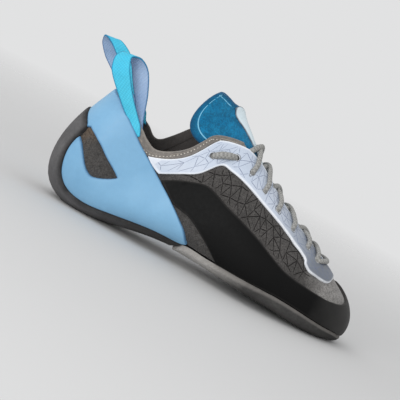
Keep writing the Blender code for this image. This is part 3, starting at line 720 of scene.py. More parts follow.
def finish(name, base, patch, edge, rough=0.8, grain=900.0, depth=0.3, edge_width=0.0010, patches=40.0,
           sheen=0.0, nap=0.25, weave=None, weave_depth=0.5, specular=0.5, edge_share=0.6, cells=None,
           stretches=()):
    """Uneven colour, grain and an edge colour, which is wear on most finishes and painted shade or a painted
    highlight on a few. stretches has (from, to, colour) along the shoe.
    """
    material = bpy.data.materials.new(name)
    material.use_nodes = True
    tree = material.node_tree
    shader = tree.nodes["Principled BSDF"]
    where = tree.nodes.new("ShaderNodeTexCoord").outputs["Object"]

    def use(group_name, vector=where, **values):
        """One of the groups in this material, with its values."""
        node = tree.nodes.new("ShaderNodeGroup")
        node.node_tree = GROUPS[group_name]
        tree.links.new(vector, node.inputs["Vector"])
        for label, value in values.items():
            node.inputs[label].default_value = value
        return node.outputs

    colour = blend_colour(tree, use("mottle", Scale=patches)["Mask"], shade(base), shade(patch))
    # Colours that change along the shoe. On the black rubber the lighter grey at the toe's front is a painted
    # highlight.
    for start, end, tint in stretches:
        colour = blend_colour(tree, use("stretch", From=start, To=end)["Mask"], colour, shade(tint))
    fine = use("grain", Scale=grain)
    hollows = maths(tree, "MULTIPLY", maths(tree, "SUBTRACT", 1.0, fine["Mask"]), nap * 1.6, True)
    colour = blend_colour(tree, hollows, colour, blend_colour(tree, 0.55, colour, BLACK))
    # The edge colour: wear on most finishes, painted shade on the blue rubber and the heel strip, a painted
    # highlight on the eyestay's rim.
    edge_wear_and_light = maths(tree, "MULTIPLY", use("edge wear and light", Width=edge_width)["Mask"], edge_share, True)
    colour = blend_colour(tree, edge_wear_and_light, colour, shade(edge))
    height = fine["Height"]
    if weave:
        chart = tree.nodes.new("ShaderNodeUVMap")
        chart.uv_map = "chart"
        threads = use("weave", vector=chart.outputs["UV"], Pitch=weave)["Height"]
        between = maths(tree, "MULTIPLY", maths(tree, "SUBTRACT", 1.0, threads), weave_depth, True)
        colour = blend_colour(tree, between, colour, blend_colour(tree, 0.6, colour, BLACK))
        height = maths(tree, "ADD", maths(tree, "MULTIPLY", height, 0.4), threads)
    if cells:
        pebble = tree.nodes.new("ShaderNodeTexVoronoi")
        pebble.inputs["Scale"].default_value = cells
        tree.links.new(where, pebble.inputs["Vector"])
        dimple = pebble.outputs["Distance"]
        pits = maths(tree, "MULTIPLY", dimple, 0.9, True)
        colour = blend_colour(tree, pits, colour, blend_colour(tree, 0.7, colour, BLACK))
        height = maths(tree, "SUBTRACT", height, dimple)
    tree.links.new(colour, shader.inputs["Base Color"])
    roughness = maths(tree, "ADD", maths(tree, "MULTIPLY", fine["Mask"], 0.12), rough - 0.06, True)
    tree.links.new(roughness, shader.inputs["Roughness"])
    bump = tree.nodes.new("ShaderNodeBump")
    bump.inputs["Strength"].default_value = depth
    bump.inputs["Distance"].default_value = BUMP_HEIGHT
    tree.links.new(height, bump.inputs["Height"])
    tree.links.new(bump.outputs["Normal"], shader.inputs["Normal"])
    shader.inputs["Specular IOR Level"].default_value = specular
    shader.inputs["Sheen Weight"].default_value = sheen
    shader.inputs["Sheen Roughness"].default_value = 0.5
    return material


# %% [markdown]
# Each finish gives three colours (base, patch and cut edge) as a picture shows them, then its numbers.

# %% The finishes of this shoe
MICROFIBRE = finish("microfibre", (100, 97, 95), (84, 82, 80), (58, 56, 54), rough=0.88, grain=900.0,
                    depth=0.5, sheen=0.12, nap=0.35, specular=0.2, cells=1100.0,
                    stretches=[(0.235, 0.175, (170, 167, 164)), (0.84, 0.89, (132, 112, 92))])
LINING = finish("lining", (80, 76, 74), (66, 63, 61), (92, 87, 84), rough=0.95, grain=1500.0, depth=0.4,
                sheen=0.1, specular=0.2)
BINDING = finish("binding", (140, 134, 129), (116, 112, 107), (158, 151, 143), rough=0.88, grain=1300.0,
                 depth=0.45, sheen=0.15, nap=0.3, specular=0.2)
# Black rubber: the lighter grey towards the toe's front is a painted highlight.
BLACK_RUBBER = finish("black_rubber", (10, 10, 10), (15, 15, 15), (66, 64, 62), rough=0.6, grain=1500.0,
                      depth=0.12, nap=0.15, patches=22.0, edge_width=0.0014, edge_share=0.5, specular=0.12,
                      stretches=[(0.20, 0.05, (62, 61, 60))])
SOLE_RUBBER = finish("sole_rubber", (90, 89, 87), (70, 69, 68), (132, 128, 124), rough=0.78, grain=1500.0,
                     depth=0.45, nap=0.3, edge_width=0.0012, patches=60.0, specular=0.25,
                     stretches=[(0.22, 0.06, (46, 45, 44)), (0.38, 0.50, (190, 187, 183))])
# Heel rubber: its dark edge colour is painted shade along the strip's rounded edges. The strip also gets
# darker towards its front end under the heel.
HEEL_RUBBER = finish("heel_rubber", (106, 105, 106), (88, 87, 88), (34, 33, 33), rough=0.78, grain=1500.0,
                     depth=0.45, nap=0.3, edge_width=0.0026, patches=60.0, specular=0.25, edge_share=0.9,
                     stretches=[(0.74, 0.60, (70, 68, 66))])
# Blue rubber: its dark edge colour is painted shade, the shadow in the thin gaps round the rand.
BLUE_RUBBER = finish("blue_rubber", (115, 164, 199), (130, 178, 211), (54, 98, 142), rough=0.5, grain=1400.0,
                     depth=0.06, nap=0.04, patches=26.0, edge_width=0.0009, edge_share=0.7, specular=0.35)
# Pale eyestay: its white edge colour is a painted highlight along the rim. The eyestay also gets darker
# towards its front.
PALE = finish("pale_synthetic", (198, 206, 219), (187, 198, 214), (238, 241, 246), rough=0.5, grain=1300.0,
              depth=0.1, nap=0.05, edge_width=0.0016, edge_share=1.0, specular=0.35,
              stretches=[(0.40, 0.22, (112, 118, 128))])
NAVY = finish("navy_edge", (20, 26, 38), (16, 22, 32), (26, 32, 44), rough=0.7, specular=0.2)
TONGUE = finish("tongue_fabric", (10, 116, 164), (26, 134, 180), (10, 76, 114), rough=0.85, grain=1000.0,
                depth=0.5, sheen=0.15, nap=0.45, edge_width=0.0040, edge_share=0.95, weave=0.0009,
                weave_depth=0.25, specular=0.2, patches=120.0)
WHITE_PANEL = finish("white_panel", (214, 228, 234), (206, 222, 230), (60, 70, 84), rough=0.45, depth=0.06,
                     nap=0.03, edge_width=0.0007, edge_share=1.0)
LACE = finish("lace_cord", (174, 175, 174), (152, 153, 154), (174, 173, 168), rough=0.85, grain=1100.0,
              depth=0.5, nap=0.45, weave=0.0012, weave_depth=0.75, sheen=0.1, specular=0.2, patches=160.0)
WEBBING_OUT = finish("webbing_outer", (60, 190, 226), (84, 206, 234), (20, 104, 156), rough=0.55, depth=0.4,
                     nap=0.08, weave=0.0011, weave_depth=0.3, edge_width=0.0009, edge_share=0.8,
                     specular=0.3)
WEBBING_IN = finish("webbing_inner", (168, 190, 218), (128, 158, 196), (28, 92, 150), rough=0.6, depth=0.4,
                    nap=0.06, weave=0.0011, weave_depth=0.2, edge_width=0.0010, edge_share=0.9,
                    specular=0.3)
THREAD = finish("thread", (206, 200, 190), (190, 184, 174), (196, 190, 180), rough=0.7)
PIPING = finish("piping", (150, 142, 132), (134, 127, 118), (150, 142, 132), rough=0.8)
THREAD_BLUE = finish("thread_blue", (120, 196, 228), (104, 184, 220), (120, 190, 220), rough=0.7)
PRINT_DARK = finish("print_dark", (14, 12, 11), (18, 16, 15), (14, 12, 11), rough=0.85, specular=0.2)
PRINT_PALE = finish("print_pale", (112, 122, 148), (126, 136, 160), (116, 126, 152), rough=0.6)
# A black ribbon over the sole's edge: painted shadow of the groove between sole and rand.
SOLE_SEAM_SHADOW = finish("sole_seam_shadow", (16, 16, 16), (20, 20, 20), (16, 16, 16), rough=0.9, specular=0.1)
BOARD = finish("board", (104, 98, 92), (90, 84, 79), (112, 106, 98), rough=0.9, grain=1400.0, depth=0.4,
               nap=0.3)
print("materials:", len(bpy.data.materials))

# %% [markdown]
# The upper is one shell of microfibre, open at the collar, at the throat and under the foot. Its inner face
# is the lining. Its eyelets are punched through both layers with round rods, as a cobbler would.

# %% Upper
TOE_CORNER = [(0.0, -1.0), (0.0, 0.0)]
PUNCH_DEPTH = 0.0056


def halves(polygon, inner_polygon=None):
    """A panel's two halves; the inner one is given as its mirror image."""
    return [polygon, mirrored(inner_polygon or polygon)]


def punch(obj):
    """Round holes through a panel at each eyelet of both sides."""
    bm = bmesh.new()
    for along, around in EYELETS + mirrored(EYELETS):
        a, r = np.array([along]), np.array([around])
        out = Vector(outward(a, r)[0])
        place = out.to_track_quat("Z", "Y").to_matrix().to_4x4()
        place.translation = Vector(lifted(a, r, 0.0005)[0])
        bmesh.ops.create_cone(bm, cap_ends=True, segments=20, radius1=EYELET_RADIUS, radius2=EYELET_RADIUS,
                              depth=PUNCH_DEPTH, matrix=place)
    mesh = bpy.data.meshes.new("punch")
    bm.to_mesh(mesh)
    bm.free()
    tool = bpy.data.objects.new("punch", mesh)
    bpy.context.scene.collection.objects.link(tool)
    cutter = obj.modifiers.new("punch", "BOOLEAN")
    cutter.object = tool
    cutter.operation = "DIFFERENCE"
    bpy.context.view_layer.update()
    cut_mesh = bpy.data.meshes.new_from_object(obj.evaluated_get(bpy.context.evaluated_depsgraph_get()))
    obj.modifiers.clear()
    old = obj.data
    obj.data = cut_mesh
    bpy.data.meshes.remove(old)
    bpy.data.objects.remove(tool, do_unlink=True)


feet = (BINDING_FOOT, BINDING_FOOT_INNER)
upper_sides = [outline(TOE_CORNER, UNDERFOOT, foot, THROAT) for foot in feet]
upper = piece("shoe_upper", panel(halves(*upper_sides), -UPPER_WALL, 0.0, edge=(0.0006, 0.0004)),
              [MICROFIBRE, LINING], ["upper"])
punch(upper)

# %% [markdown]
# The binding is a soft suede tape folded over the rim of the collar. It is rounded on both faces, and a
# shallow channel below the roll takes the seam.

# %% Collar binding
ROLL = 0.0022
ROLL_HEIGHT = 0.0006
RIM_BOTH = [smooth(RIM), mirrored(smooth(RIM_INNER))]
SEAM_DEPTH = 0.0040       # how far below the rim the seam runs
SEAM_PRESS = 0.0003


def binding_shape(along, around, gap):
    """A plump roll at the rim, a pressed seam line under it."""
    spots = np.stack([along, (around + 1) % 2 - 1], axis=1) * CHART
    rims = [np.array(rim) * CHART for rim in RIM_BOTH]
    rim = np.minimum(*[away_from(spots, line[:-1], line[1:]) for line in rims])
    roll = np.where(rim < ROLL, np.sqrt(np.clip(1 - (2 * rim / ROLL - 1) ** 2, 0, 1)) * ROLL_HEIGHT, 0.0)
    return roll - SEAM_PRESS * np.exp(-((rim - SEAM_DEPTH) / 0.0006) ** 2)


binding_feet = [shifted(foot, along=-0.0014)[::-1] for foot in feet]
binding_sides = [outline(rim, foot) for rim, foot in zip((RIM, RIM_INNER), binding_feet)]
piece("shoe_binding",
      panel(halves(*binding_sides), -UPPER_WALL - 0.0005, 0.0005, edge=(0.0011, 0.0009), both=True,
            shape=binding_shape), [BINDING, LINING], ["collar_binding"])

# %% [markdown]
# The eyestay is a smooth pale layer that carries the eyelets. Under its edge a thin dark backing shows as
# a line all round, so the backing is a second panel, a little larger.

# %% Eyestay and its dark backing
EYESTAY_TOP_SHARE = 0.48
BACKING_LIP = 0.0010


def eyestay_outline(foot, top_shift, grow):
    """One half of the eyestay: its top follows the binding's foot, its lower edge is grown by grow metres."""
    top = shifted([p for p in foot if p[1] < -EYESTAY_TOP_SHARE], along=top_shift, around=top_shift)
    low = offset(smooth(EYESTAY_FOOT), grow) if grow else smooth(EYESTAY_FOOT)
    low[-1] = (low[-1][0], -1.0)
    return outline(top, THROAT) + low[::-1]


eyestay_sides = [eyestay_outline(foot, -0.0022, 0.0) for foot in feet]
eyestay_sheets = [eyestay_sides[0], over_crest(eyestay_sides[1])]
eyestay = piece("shoe_eyestay",
                panel(eyestay_sheets, 0.0001, LAYER_GAP + EYESTAY_THICK, edge=(0.0009, 0.0005)), [PALE],
                ["eyestay"])
backing_sides = [eyestay_outline(foot, -0.0008, BACKING_LIP) for foot in feet]
backing_sheets = [backing_sides[0], over_crest(backing_sides[1])]
backing = piece("shoe_eyestay_backing",
                panel(backing_sheets, -0.0001, LAYER_GAP * 0.7, edge=(0.0004, 0.0002)), [NAVY],
                ["eyestay"])
for layer in (eyestay, backing):
    punch(layer)

# %% [markdown]
# The rubber. A pale blue rand wraps the heel, with a window on the upper beneath. A dark strip runs under
# the heel and up its back. The black rand holds the toes, and the sole's edge is sanded flush with it.

# %% Heel rand and heel strip
STRIP_FRONT = 0.5645
strip_half = outline([(STRIP_FRONT, 0.0), (STRIP_FRONT, -0.140)], [(STRIP_FRONT, -0.140), STRIP_EDGE[0]],
                     STRIP_EDGE)
strip_polygon = strip_half + mirrored(strip_half)[::-1][1:-1]
piece("shoe_heel_strip", panel([strip_polygon], -SINK, LAYER_GAP + HEEL_STRIP_THICK, edge=(0.0022, 0.0015)),
      [HEEL_RUBBER], ["heel_strip"])
strip_line = smooth(shifted(STRIP_EDGE, around=-0.0012))
low_end = WINDOW_REAR[0][0]
high_end = WINDOW_FRONT[-1][0]
strip_high = [p for p in strip_line if p[0] > high_end][:-1] + [(0.9232, 0.0)]
strip_low = [p for p in strip_line if p[0] < low_end]
rand_side = outline(HEEL_RAND_FRONT) + strip_low + outline(WINDOW_REAR, WINDOW_FRONT) + strip_high
piece("shoe_heel_rand", panel(halves(rand_side), -SINK, LAYER_GAP + RAND_THICK, edge=(0.0008, 0.0006)),
      [BLUE_RUBBER], ["heel_rand"])

# %% [markdown]
# The toe rand ends just under the sole's line. The outsole is thick below and thins to a lip at its side.

# %% Toe rand and outsole
sole_line = smooth(SOLE_TOP)
rand_low = [(a - 0.0006, r - 0.003) for a, r in sole_line[::-1]]
rand_low = [(0.0275, 0.0)] + [p for p in rand_low if p[1] < -0.02 and p[0] < TOE_RAND_REAR[-1][0] - 0.004]
toe_outer = outline(TOE_CORNER) + rand_low + outline(TOE_RAND_REAR[::-1], TOE_RAND_TOP_OUTER)
inner_top = outline(TOE_RAND_REAR[::-1], mirrored(TOE_RAND_TOP_INNER))
toe_inner = mirrored(outline(TOE_CORNER) + rand_low + inner_top)
piece("shoe_toe_rand", panel([toe_outer, toe_inner], -SINK, LAYER_GAP + RAND_THICK, edge=(0.0014, 0.0009)),
      [BLACK_RUBBER], ["toe_rand"])
sole_polygon = sole_line + mirrored(sole_line)[::-1][1:-1]
piece("shoe_outsole", panel([sole_polygon], -SINK / SOLE_LIP, 1.0, edge=(0.0010, 0.35), face=sole_face),
      [SOLE_RUBBER], ["outsole"])

# %% [markdown]
# The tongue is a padded sheet of fabric with a smooth white panel down its middle.

# %% Tongue and its panel
TONGUE_LIFT = -UPPER_WALL - INNER_GAP
TONGUE_SEAM = 0.0038      # from the tongue's edge to its sewn channel
tongue_line = smooth(TONGUE_EDGE)
tongue_polygon = tongue_line + over_crest(tongue_line)[::-1][1:-1]


def tongue_shape(along, around, gap):
    """A soft swell, and a sewn channel a few millimetres from the edge."""
    swell = 0.0005 * (1 - np.exp(-(gap / 0.006) ** 2))
    return swell - 0.0006 * np.exp(-((gap - TONGUE_SEAM) / 0.0007) ** 2)


tongue = piece("shoe_tongue", panel([tongue_polygon], TONGUE_LIFT - TONGUE_THICK, TONGUE_LIFT,
                                    edge=(0.0016, 0.0013), both=True, shape=tongue_shape), [TONGUE],
               ["tongue"])
panel_line = smooth(TONGUE_PANEL_EDGE)
panel_polygon = panel_line + over_crest(panel_line)[::-1][1:-1]
piece("shoe_tongue_panel",
      panel([panel_polygon], TONGUE_LIFT - 0.0004, TONGUE_LIFT + LAYER_GAP + TONGUE_PANEL_THICK,
            edge=(0.0008, 0.0005)), [WHITE_PANEL], ["tongue_panel"])

# %% [markdown]
# The insole is a plain board deep inside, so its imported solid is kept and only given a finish.

# %% Insole keeps its solid
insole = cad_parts["insole"]
insole.data.materials.clear()
insole.data.materials.append(BOARD)
print("insole", len(insole.data.polygons), "faces")

# %% [markdown]
# A cord is a circle carried along a path: its edge is extruded one step at a time, and each new ring is
# moved and turned with the path. The lace is flattened, and fuller in the two locks at its top.

# %% Cords


def cord(bm, path, width, height, up, sides=12, swell=0.0):
    """Extrude a flattened ring along a path. up gives the direction of the short axis at each point."""
    layers = [bm.verts.layers.float.get(name) or bm.verts.layers.float.new(name) for name in ("run", "turn")]
    path = [Vector(p) for p in path]
    runs = np.concatenate([[0.0], np.cumsum([(q - p).length for p, q in zip(path, path[1:])])])
    frames = []
    for i, spot in enumerate(path):
        way = (path[min(i + 1, len(path) - 1)] - path[max(i - 1, 0)]).normalized()
        out = Vector(up[i])
        out = (out - way * out.dot(way)).normalized()
        fuller = 1.0 + swell * math.sin(math.pi * runs[i] / runs[-1])
        turn = Matrix((out.cross(way) * width * fuller, out * height * fuller, way)).transposed().to_4x4()
        frames.append(Matrix.Translation(spot) @ turn)
    ring = bmesh.ops.create_circle(bm, cap_ends=False, segments=sides, radius=1.0, matrix=frames[0])["verts"]
    for k, vert in enumerate(ring):
        vert[layers[1]] = k / sides
    edges = [e for e in bm.edges if e.verts[0] in ring and e.verts[1] in ring]
    first_rim = edges
    for before, after, run in zip(frames, frames[1:], runs[1:]):
        grown = bmesh.ops.extrude_edge_only(bm, edges=edges)["geom"]
        verts = [g for g in grown if isinstance(g, bmesh.types.BMVert)]
        edges = [g for g in grown if isinstance(g, bmesh.types.BMEdge) and all(v in verts for v in g.verts)]
        bmesh.ops.transform(bm, matrix=after @ before.inverted(), verts=verts)
        for vert in verts:
            vert[layers[0]] = run
    for rim in (first_rim, edges):
        bmesh.ops.edgeloop_fill(bm, edges=rim)
    return runs[-1]


def cord_map(bm, girth):
    """The chart of a cord: how far along it, and how far round it."""
    run, turn_share = (bm.verts.layers.float[name] for name in ("run", "turn"))
    uv = bm.loops.layers.uv.new("chart")
    for face in bm.faces:
        turns = [v[turn_share] for v in face.verts]
        wrap = 1.0 if max(turns) - min(turns) > 0.5 else 0.0
        for loop in face.loops:
            turned = loop.vert[turn_share]
            loop[uv].uv = (loop.vert[run], (turned + (wrap if turned < 0.5 else 0.0)) * girth)


def chart_path(points, count=5):
    """A soft curve through (along, around, lift), with the direction out of the last at each point."""
    out = np.array(soft_curve(points, [count] * (len(points) - 1)))
    return lifted(out[:, 0], out[:, 1], out[:, 2]), outward(out[:, 0], out[:, 1])


print("a lace is", LACE_RADIUS * 2000, "mm thick")

# %% [markdown]
# One lace makes all the bars. Each crossing leaves an eyelet, lies on the eyestay, and dives under the edge
# on the other side of the throat. The bars pass over and under one another in turn. A lock joins the last
# two eyelets of each side, and a bar closes the front.

# %% Laces
REST = LAYER_GAP + EYESTAY_THICK + LACE_RADIUS * 0.72
UNDER = -UPPER_WALL - LACE_RADIUS * 0.6
LACE_FLAT = 0.76
lace_bm = bmesh.new()


def lace_run(points, swell=0.0):
    """One piece of lace, and its length."""
    path, up = chart_path(points)
    return cord(lace_bm, path, LACE_RADIUS, LACE_RADIUS * LACE_FLAT, up, swell=swell)


def crossing(i, sign):
    """From an eyelet over the throat and under the other side's edge, up to its next eyelet."""
    a0, r0 = EYELETS[i]
    a1, r1 = EYELETS[i + 1]
    step = a1 - a0
    rise = 0.0011 if (sign < 0) == (i % 2 == 1) else -0.0009
    points = [(a0, r0 + 0.004, UNDER), (a0, r0 + 0.001, -0.0004), (a0 + 0.001, r0 - 0.014, 0.0016),
              (a0 + 0.005, r0 - 0.045, REST + 0.0004), (a0 + step * 0.24, r0 - 0.095, REST + 0.0002),
              (a0 + step * 0.50, -1.0, 0.0013 + rise),
              (a0 + step * 0.72, -2 - r1 + 0.105, 0.0002 + rise * 0.4),
              (a0 + step * 0.86, -2 - r1 + 0.055, UNDER + 0.0006), (a1 - 0.006, -2 - r1 + 0.020, UNDER)]
    if sign < 0:
        points = [(a, -2 - r, h) for a, r, h in points]
    return lace_run(points)


total = sum(crossing(i, sign) for i in range(6) for sign in (1, -1))
a0, r0 = EYELETS[0]
total += lace_run([(a0 + 0.001, r0 + 0.004, UNDER), (a0, r0, -0.0002), (a0 - 0.006, r0 - 0.016, 0.0018),
                   (a0 - 0.018, r0 - 0.055, REST), (a0 - 0.028, -0.93, REST), (a0 - 0.031, -1.0, REST),
                   (a0 - 0.028, -1.07, REST), (a0 - 0.018, -2 - r0 + 0.055, REST),
                   (a0 - 0.006, -2 - r0 + 0.016, 0.0018), (a0, -2 - r0, -0.0002),
                   (a0 + 0.001, -2 - r0 - 0.004, UNDER)])
for sign in (1, -1):
    (low_a, low_r), (high_a, high_r) = EYELETS[-2:]
    lock = [(low_a - 0.001, low_r - 0.002, UNDER), (low_a + 0.001, low_r + 0.001, -0.0002),
            (low_a + 0.008, low_r + 0.010, 0.0019), (low_a + 0.020, low_r + 0.026, REST + 0.0006),
            ((low_a + high_a) / 2, (low_r + high_r) / 2, REST + 0.0008),
            (high_a - 0.020, high_r - 0.026, REST + 0.0006), (high_a - 0.008, high_r - 0.010, 0.0019),
            (high_a - 0.001, high_r - 0.001, -0.0002), (high_a + 0.001, high_r + 0.002, UNDER)]
    total += lace_run([(a, r if sign > 0 else -2 - r, h) for a, r, h in lock], swell=0.35)
cord_map(lace_bm, LACE_RADIUS * 5.6)
bmesh.ops.recalc_face_normals(lace_bm, faces=lace_bm.faces[:])
piece("shoe_laces", lace_bm, [LACE], ["laces"], sharp=1.2)
print("lace that shows:", round(total, 3), "m")

# %% [markdown]
# Stitches are tiny beads in rows. One is a small icosphere, stretched and placed by its matrix, so a row of
# a hundred stays light. Piping and printed lines are ribbons: a strip of the chart a fraction of a millimetre
# wide, laid on the panel below it.

# %% Stitches and ribbons


def stitch_row(bm, edge, lift, pitch=0.0024, long=0.0015, thick=0.00036):
    """Stitches along a fine line of the chart."""
    line = np.array(edge)
    spots = lifted(line[:, 0], line[:, 1], np.full(len(line), lift))
    ways = outward(line[:, 0], line[:, 1])
    run = np.concatenate([[0.0], np.cumsum(np.linalg.norm(np.diff(spots, axis=0), axis=1))])
    for s in np.arange(pitch * 0.5, run[-1] - pitch * 0.5, pitch):
        marks = (s - long / 2, s + long / 2)
        ends = [Vector([np.interp(t, run, spots[:, k]) for k in range(3)]) for t in marks]
        out = Vector([np.interp(s, run, ways[:, k]) for k in range(3)])
        way = (ends[1] - ends[0]).normalized()
        across = out.cross(way).normalized()
        place = Matrix((across * thick * 1.3, way.cross(across) * thick,
                        way * long / 2)).transposed().to_4x4()
        place.translation = (ends[0] + ends[1]) / 2
        bmesh.ops.create_icosphere(bm, subdivisions=1, radius=1.0, matrix=place)


def ribbon(bm, edge, lift, width, sink=SINK):
    """A thin flat line laid along a line of the chart, narrowed at its two ends."""
    pts = np.array(edge) * CHART
    way = np.gradient(pts, axis=0)
    way /= np.maximum(np.linalg.norm(way, axis=1, keepdims=True), 1e-9)
    taper = np.full(len(pts), 1.0)
    taper[[0, -1]] = 0.35
    side = np.stack([-way[:, 1], way[:, 0]], axis=1) * width / 2 * taper[:, None]
    left, right = (pts + side) / CHART, (pts - side) / CHART
    rows = [lifted(s[:, 0], s[:, 1], np.full(len(s), h)) for h in (lift, lift - sink) for s in (left, right)]
    strip = [[bm.verts.new(p) for p in row] for row in rows]
    order = (strip[0], strip[1], strip[3], strip[2])
    for one, two in zip(order, order[1:] + order[:1]):
        for i in range(len(pts) - 1):
            bm.faces.new([one[i], one[i + 1], two[i + 1], two[i]])
    bm.faces.new([row[0] for row in order])
    bm.faces.new([row[-1] for row in order[::-1]])


def finished_lines(name, bm, material):
    """One object of many ribbons or stitches."""
    bmesh.ops.recalc_face_normals(bm, faces=bm.faces[:])
    piece(name, bm, [material], sharp=1.2)


stitches = bmesh.new()
piping = bmesh.new()
for rim in RIM_BOTH:
    side = 1 if rim[-1][1] > 0 else -1
    row = offset(rim, SEAM_DEPTH * side)[5:-6]
    stitch_row(stitches, row, 0.00045)
    ribbon(piping, offset(rim, 0.0026 * side)[3:-4], 0.0007, 0.00055)
finished_lines("shoe_stitches", stitches, THREAD)
finished_lines("shoe_piping", piping, PIPING)
tongue_seams = bmesh.new()
seam_line = offset(tongue_line, -TONGUE_SEAM)[40:-12]
for row in (seam_line, over_crest(seam_line)):
    ribbon(tongue_seams, row, TONGUE_LIFT + 0.0001, 0.0006)
finished_lines("shoe_tongue_seams", tongue_seams, THREAD_BLUE)

# %% [markdown]
# The sole's rim. A black ribbon where the sole meets the rand is painted shadow of the groove there.

# %% Painted groove shadow over the sole's edge
sole_seam_shadow = bmesh.new()
for row in (sole_line, mirrored(sole_line)):
    line = [p for p in row if abs(p[1]) > 0.20]
    ribbon(sole_seam_shadow, offset(line, -0.0004 if row is sole_line else 0.0004), LAYER_GAP + 0.0006, 0.0009,
           sink=0.0012)
finished_lines("shoe_sole_seam_shadow", sole_seam_shadow, SOLE_SEAM_SHADOW)

# %% [markdown]
# A printed net of fine lines covers the microfibre and the eyestay. It is a generic triangle pattern: points
# are scattered with a fixed seed and joined by a Delaunay fill, and each edge becomes a ribbon.

# %% Printed lines
NET_KEEP = 0.9
UPPER_NET = 0.0064
EYESTAY_NET = 0.0056
EDGE_CLEAR = 0.0016
HOLE_CLEAR = 0.0034


def net(region, spacing, seed):
    """Edges of a scattered triangle net, cut to a region of the chart; sampled about every 1.5 mm."""
    rng = np.random.default_rng(seed)
    corners = np.array(region) * CHART
    low, high = corners.min(axis=0) - 2 * spacing, corners.max(axis=0) + 2 * spacing
    spots = []
    for _ in range(4000):
        spot = low + rng.random(2) * (high - low)
        if all(np.linalg.norm(spot - other) > spacing for other in spots):
            spots.append(spot)
    filled = geometry.delaunay_2d_cdt([Vector(p * 1000) for p in spots], [], [], 0, 1e-6, False)
    lines = []
    for i, j in filled[1]:
        p, q = (np.array(filled[0][k][:]) / 1000 for k in (i, j))
        if rng.random() > NET_KEEP or np.linalg.norm(q - p) > 3.2 * spacing:
            continue
        count = max(3, int(np.linalg.norm(q - p) / 0.0015))
        run = p + (q - p) * np.linspace(0, 1, count)[:, None]
        good = inside(run, corners)
        start = None
        for k, ok in enumerate(list(good) + [False]):
            if ok and start is None:
                start = k
            elif not ok and start is not None:
                if k - start >= 3:
                    lines.append([tuple(c) for c in run[start:k] / CHART])
                start = None
    return lines


print_area = [(0.640, -0.560), (0.600, -0.580), (0.520, -0.572), (0.402, -0.580), (0.330, -0.560),
              (0.262, -0.560), (0.215, -0.640), (0.235, -0.672), (0.262, -0.690), (0.272, -0.724),
              (0.325, -0.754), (0.382, -0.763), (0.441, -0.752), (0.510, -0.738), (0.584, -0.720),
              (0.625, -0.705), (0.645, -0.610), (0.690, -0.530)]
prints = bmesh.new()
for area, seed in ((print_area, 5), (mirrored(print_area), 8)):
    for line in net(area, UPPER_NET, seed):
        ribbon(prints, line, 0.00008, 0.00052, sink=0.0003)
finished_lines("shoe_print_upper", prints, PRINT_DARK)
pale_prints = bmesh.new()
for polygon, seed in zip(eyestay_sheets, (21, 34)):
    for line in net(polygon, EYESTAY_NET, seed):
        spots = np.array(line) * CHART
        corners = np.array(polygon) * CHART
        clear = away_from(spots, corners, np.roll(corners, -1, axis=0)) > EDGE_CLEAR
        holes = np.array(EYELETS) if polygon is eyestay_sheets[0] else np.array(over_crest(EYELETS))
        for hole in holes * CHART:
            clear &= np.linalg.norm(spots - hole, axis=1) > HOLE_CLEAR
        kept = [p for p, ok in zip(line, clear) if ok]
        if len(kept) >= 3 and clear[np.argmax(clear):len(clear) - np.argmax(clear[::-1])].all():
            ribbon(pale_prints, kept, LAYER_GAP + EYESTAY_THICK + 0.00004, 0.00034)
finished_lines("shoe_print_eyestay", pale_prints, PRINT_PALE)

# %% [markdown]
# The pull loops are flat webbing, folded over and sewn in at the heel. Two rails give the webbing's edges,
# measured from the spot of the rim where it is sewn in, and its two faces are woven in different blues.

# %% Pull loops
PULL_LOOP = [
    # rear x, y, z, front x, y, z
    (0.0004, -0.0012, -0.0067, 0.0015, -0.0011, -0.0053),
    (-0.0068, -0.0011, -0.0022, -0.0012, -0.0010, 0.0004),
    (-0.0124, -0.0007, 0.0017, -0.0053, -0.0009, 0.0051),
    (-0.0231, -0.0033, 0.0115, -0.0145, -0.0028, 0.0157),
    (-0.0343, -0.0053, 0.0232, -0.0235, -0.0043, 0.0286),
    (-0.0375, -0.0033, 0.0298, -0.0267, -0.0023, 0.0348),
    (-0.0379, -0.0003, 0.0352, -0.0275, 0.0007, 0.0389),
    (-0.0346, 0.0057, 0.0392, -0.0218, 0.0047, 0.0403),
    (-0.0285, 0.0107, 0.0358, -0.0143, 0.0067, 0.0350),
    (-0.0197, 0.0092, 0.0226, -0.0076, 0.0052, 0.0223),
    (-0.0127, 0.0056, 0.0131, -0.0035, 0.0040, 0.0104),
    (-0.0084, 0.0036, 0.0056, -0.0010, 0.0032, 0.0030),
    (-0.0049, 0.0028, -0.0017, 0.0023, 0.0030, -0.0036),
]
LOOP_SPOT_OUTER = (0.848, 0.483)
LOOP_SPOT_INNER = (0.866, 0.448)
LOOP_RISE = 0.0008
LOOP_KNEE = 0.0042
LOOP_LEAN = 0.50
STRANDS = 9


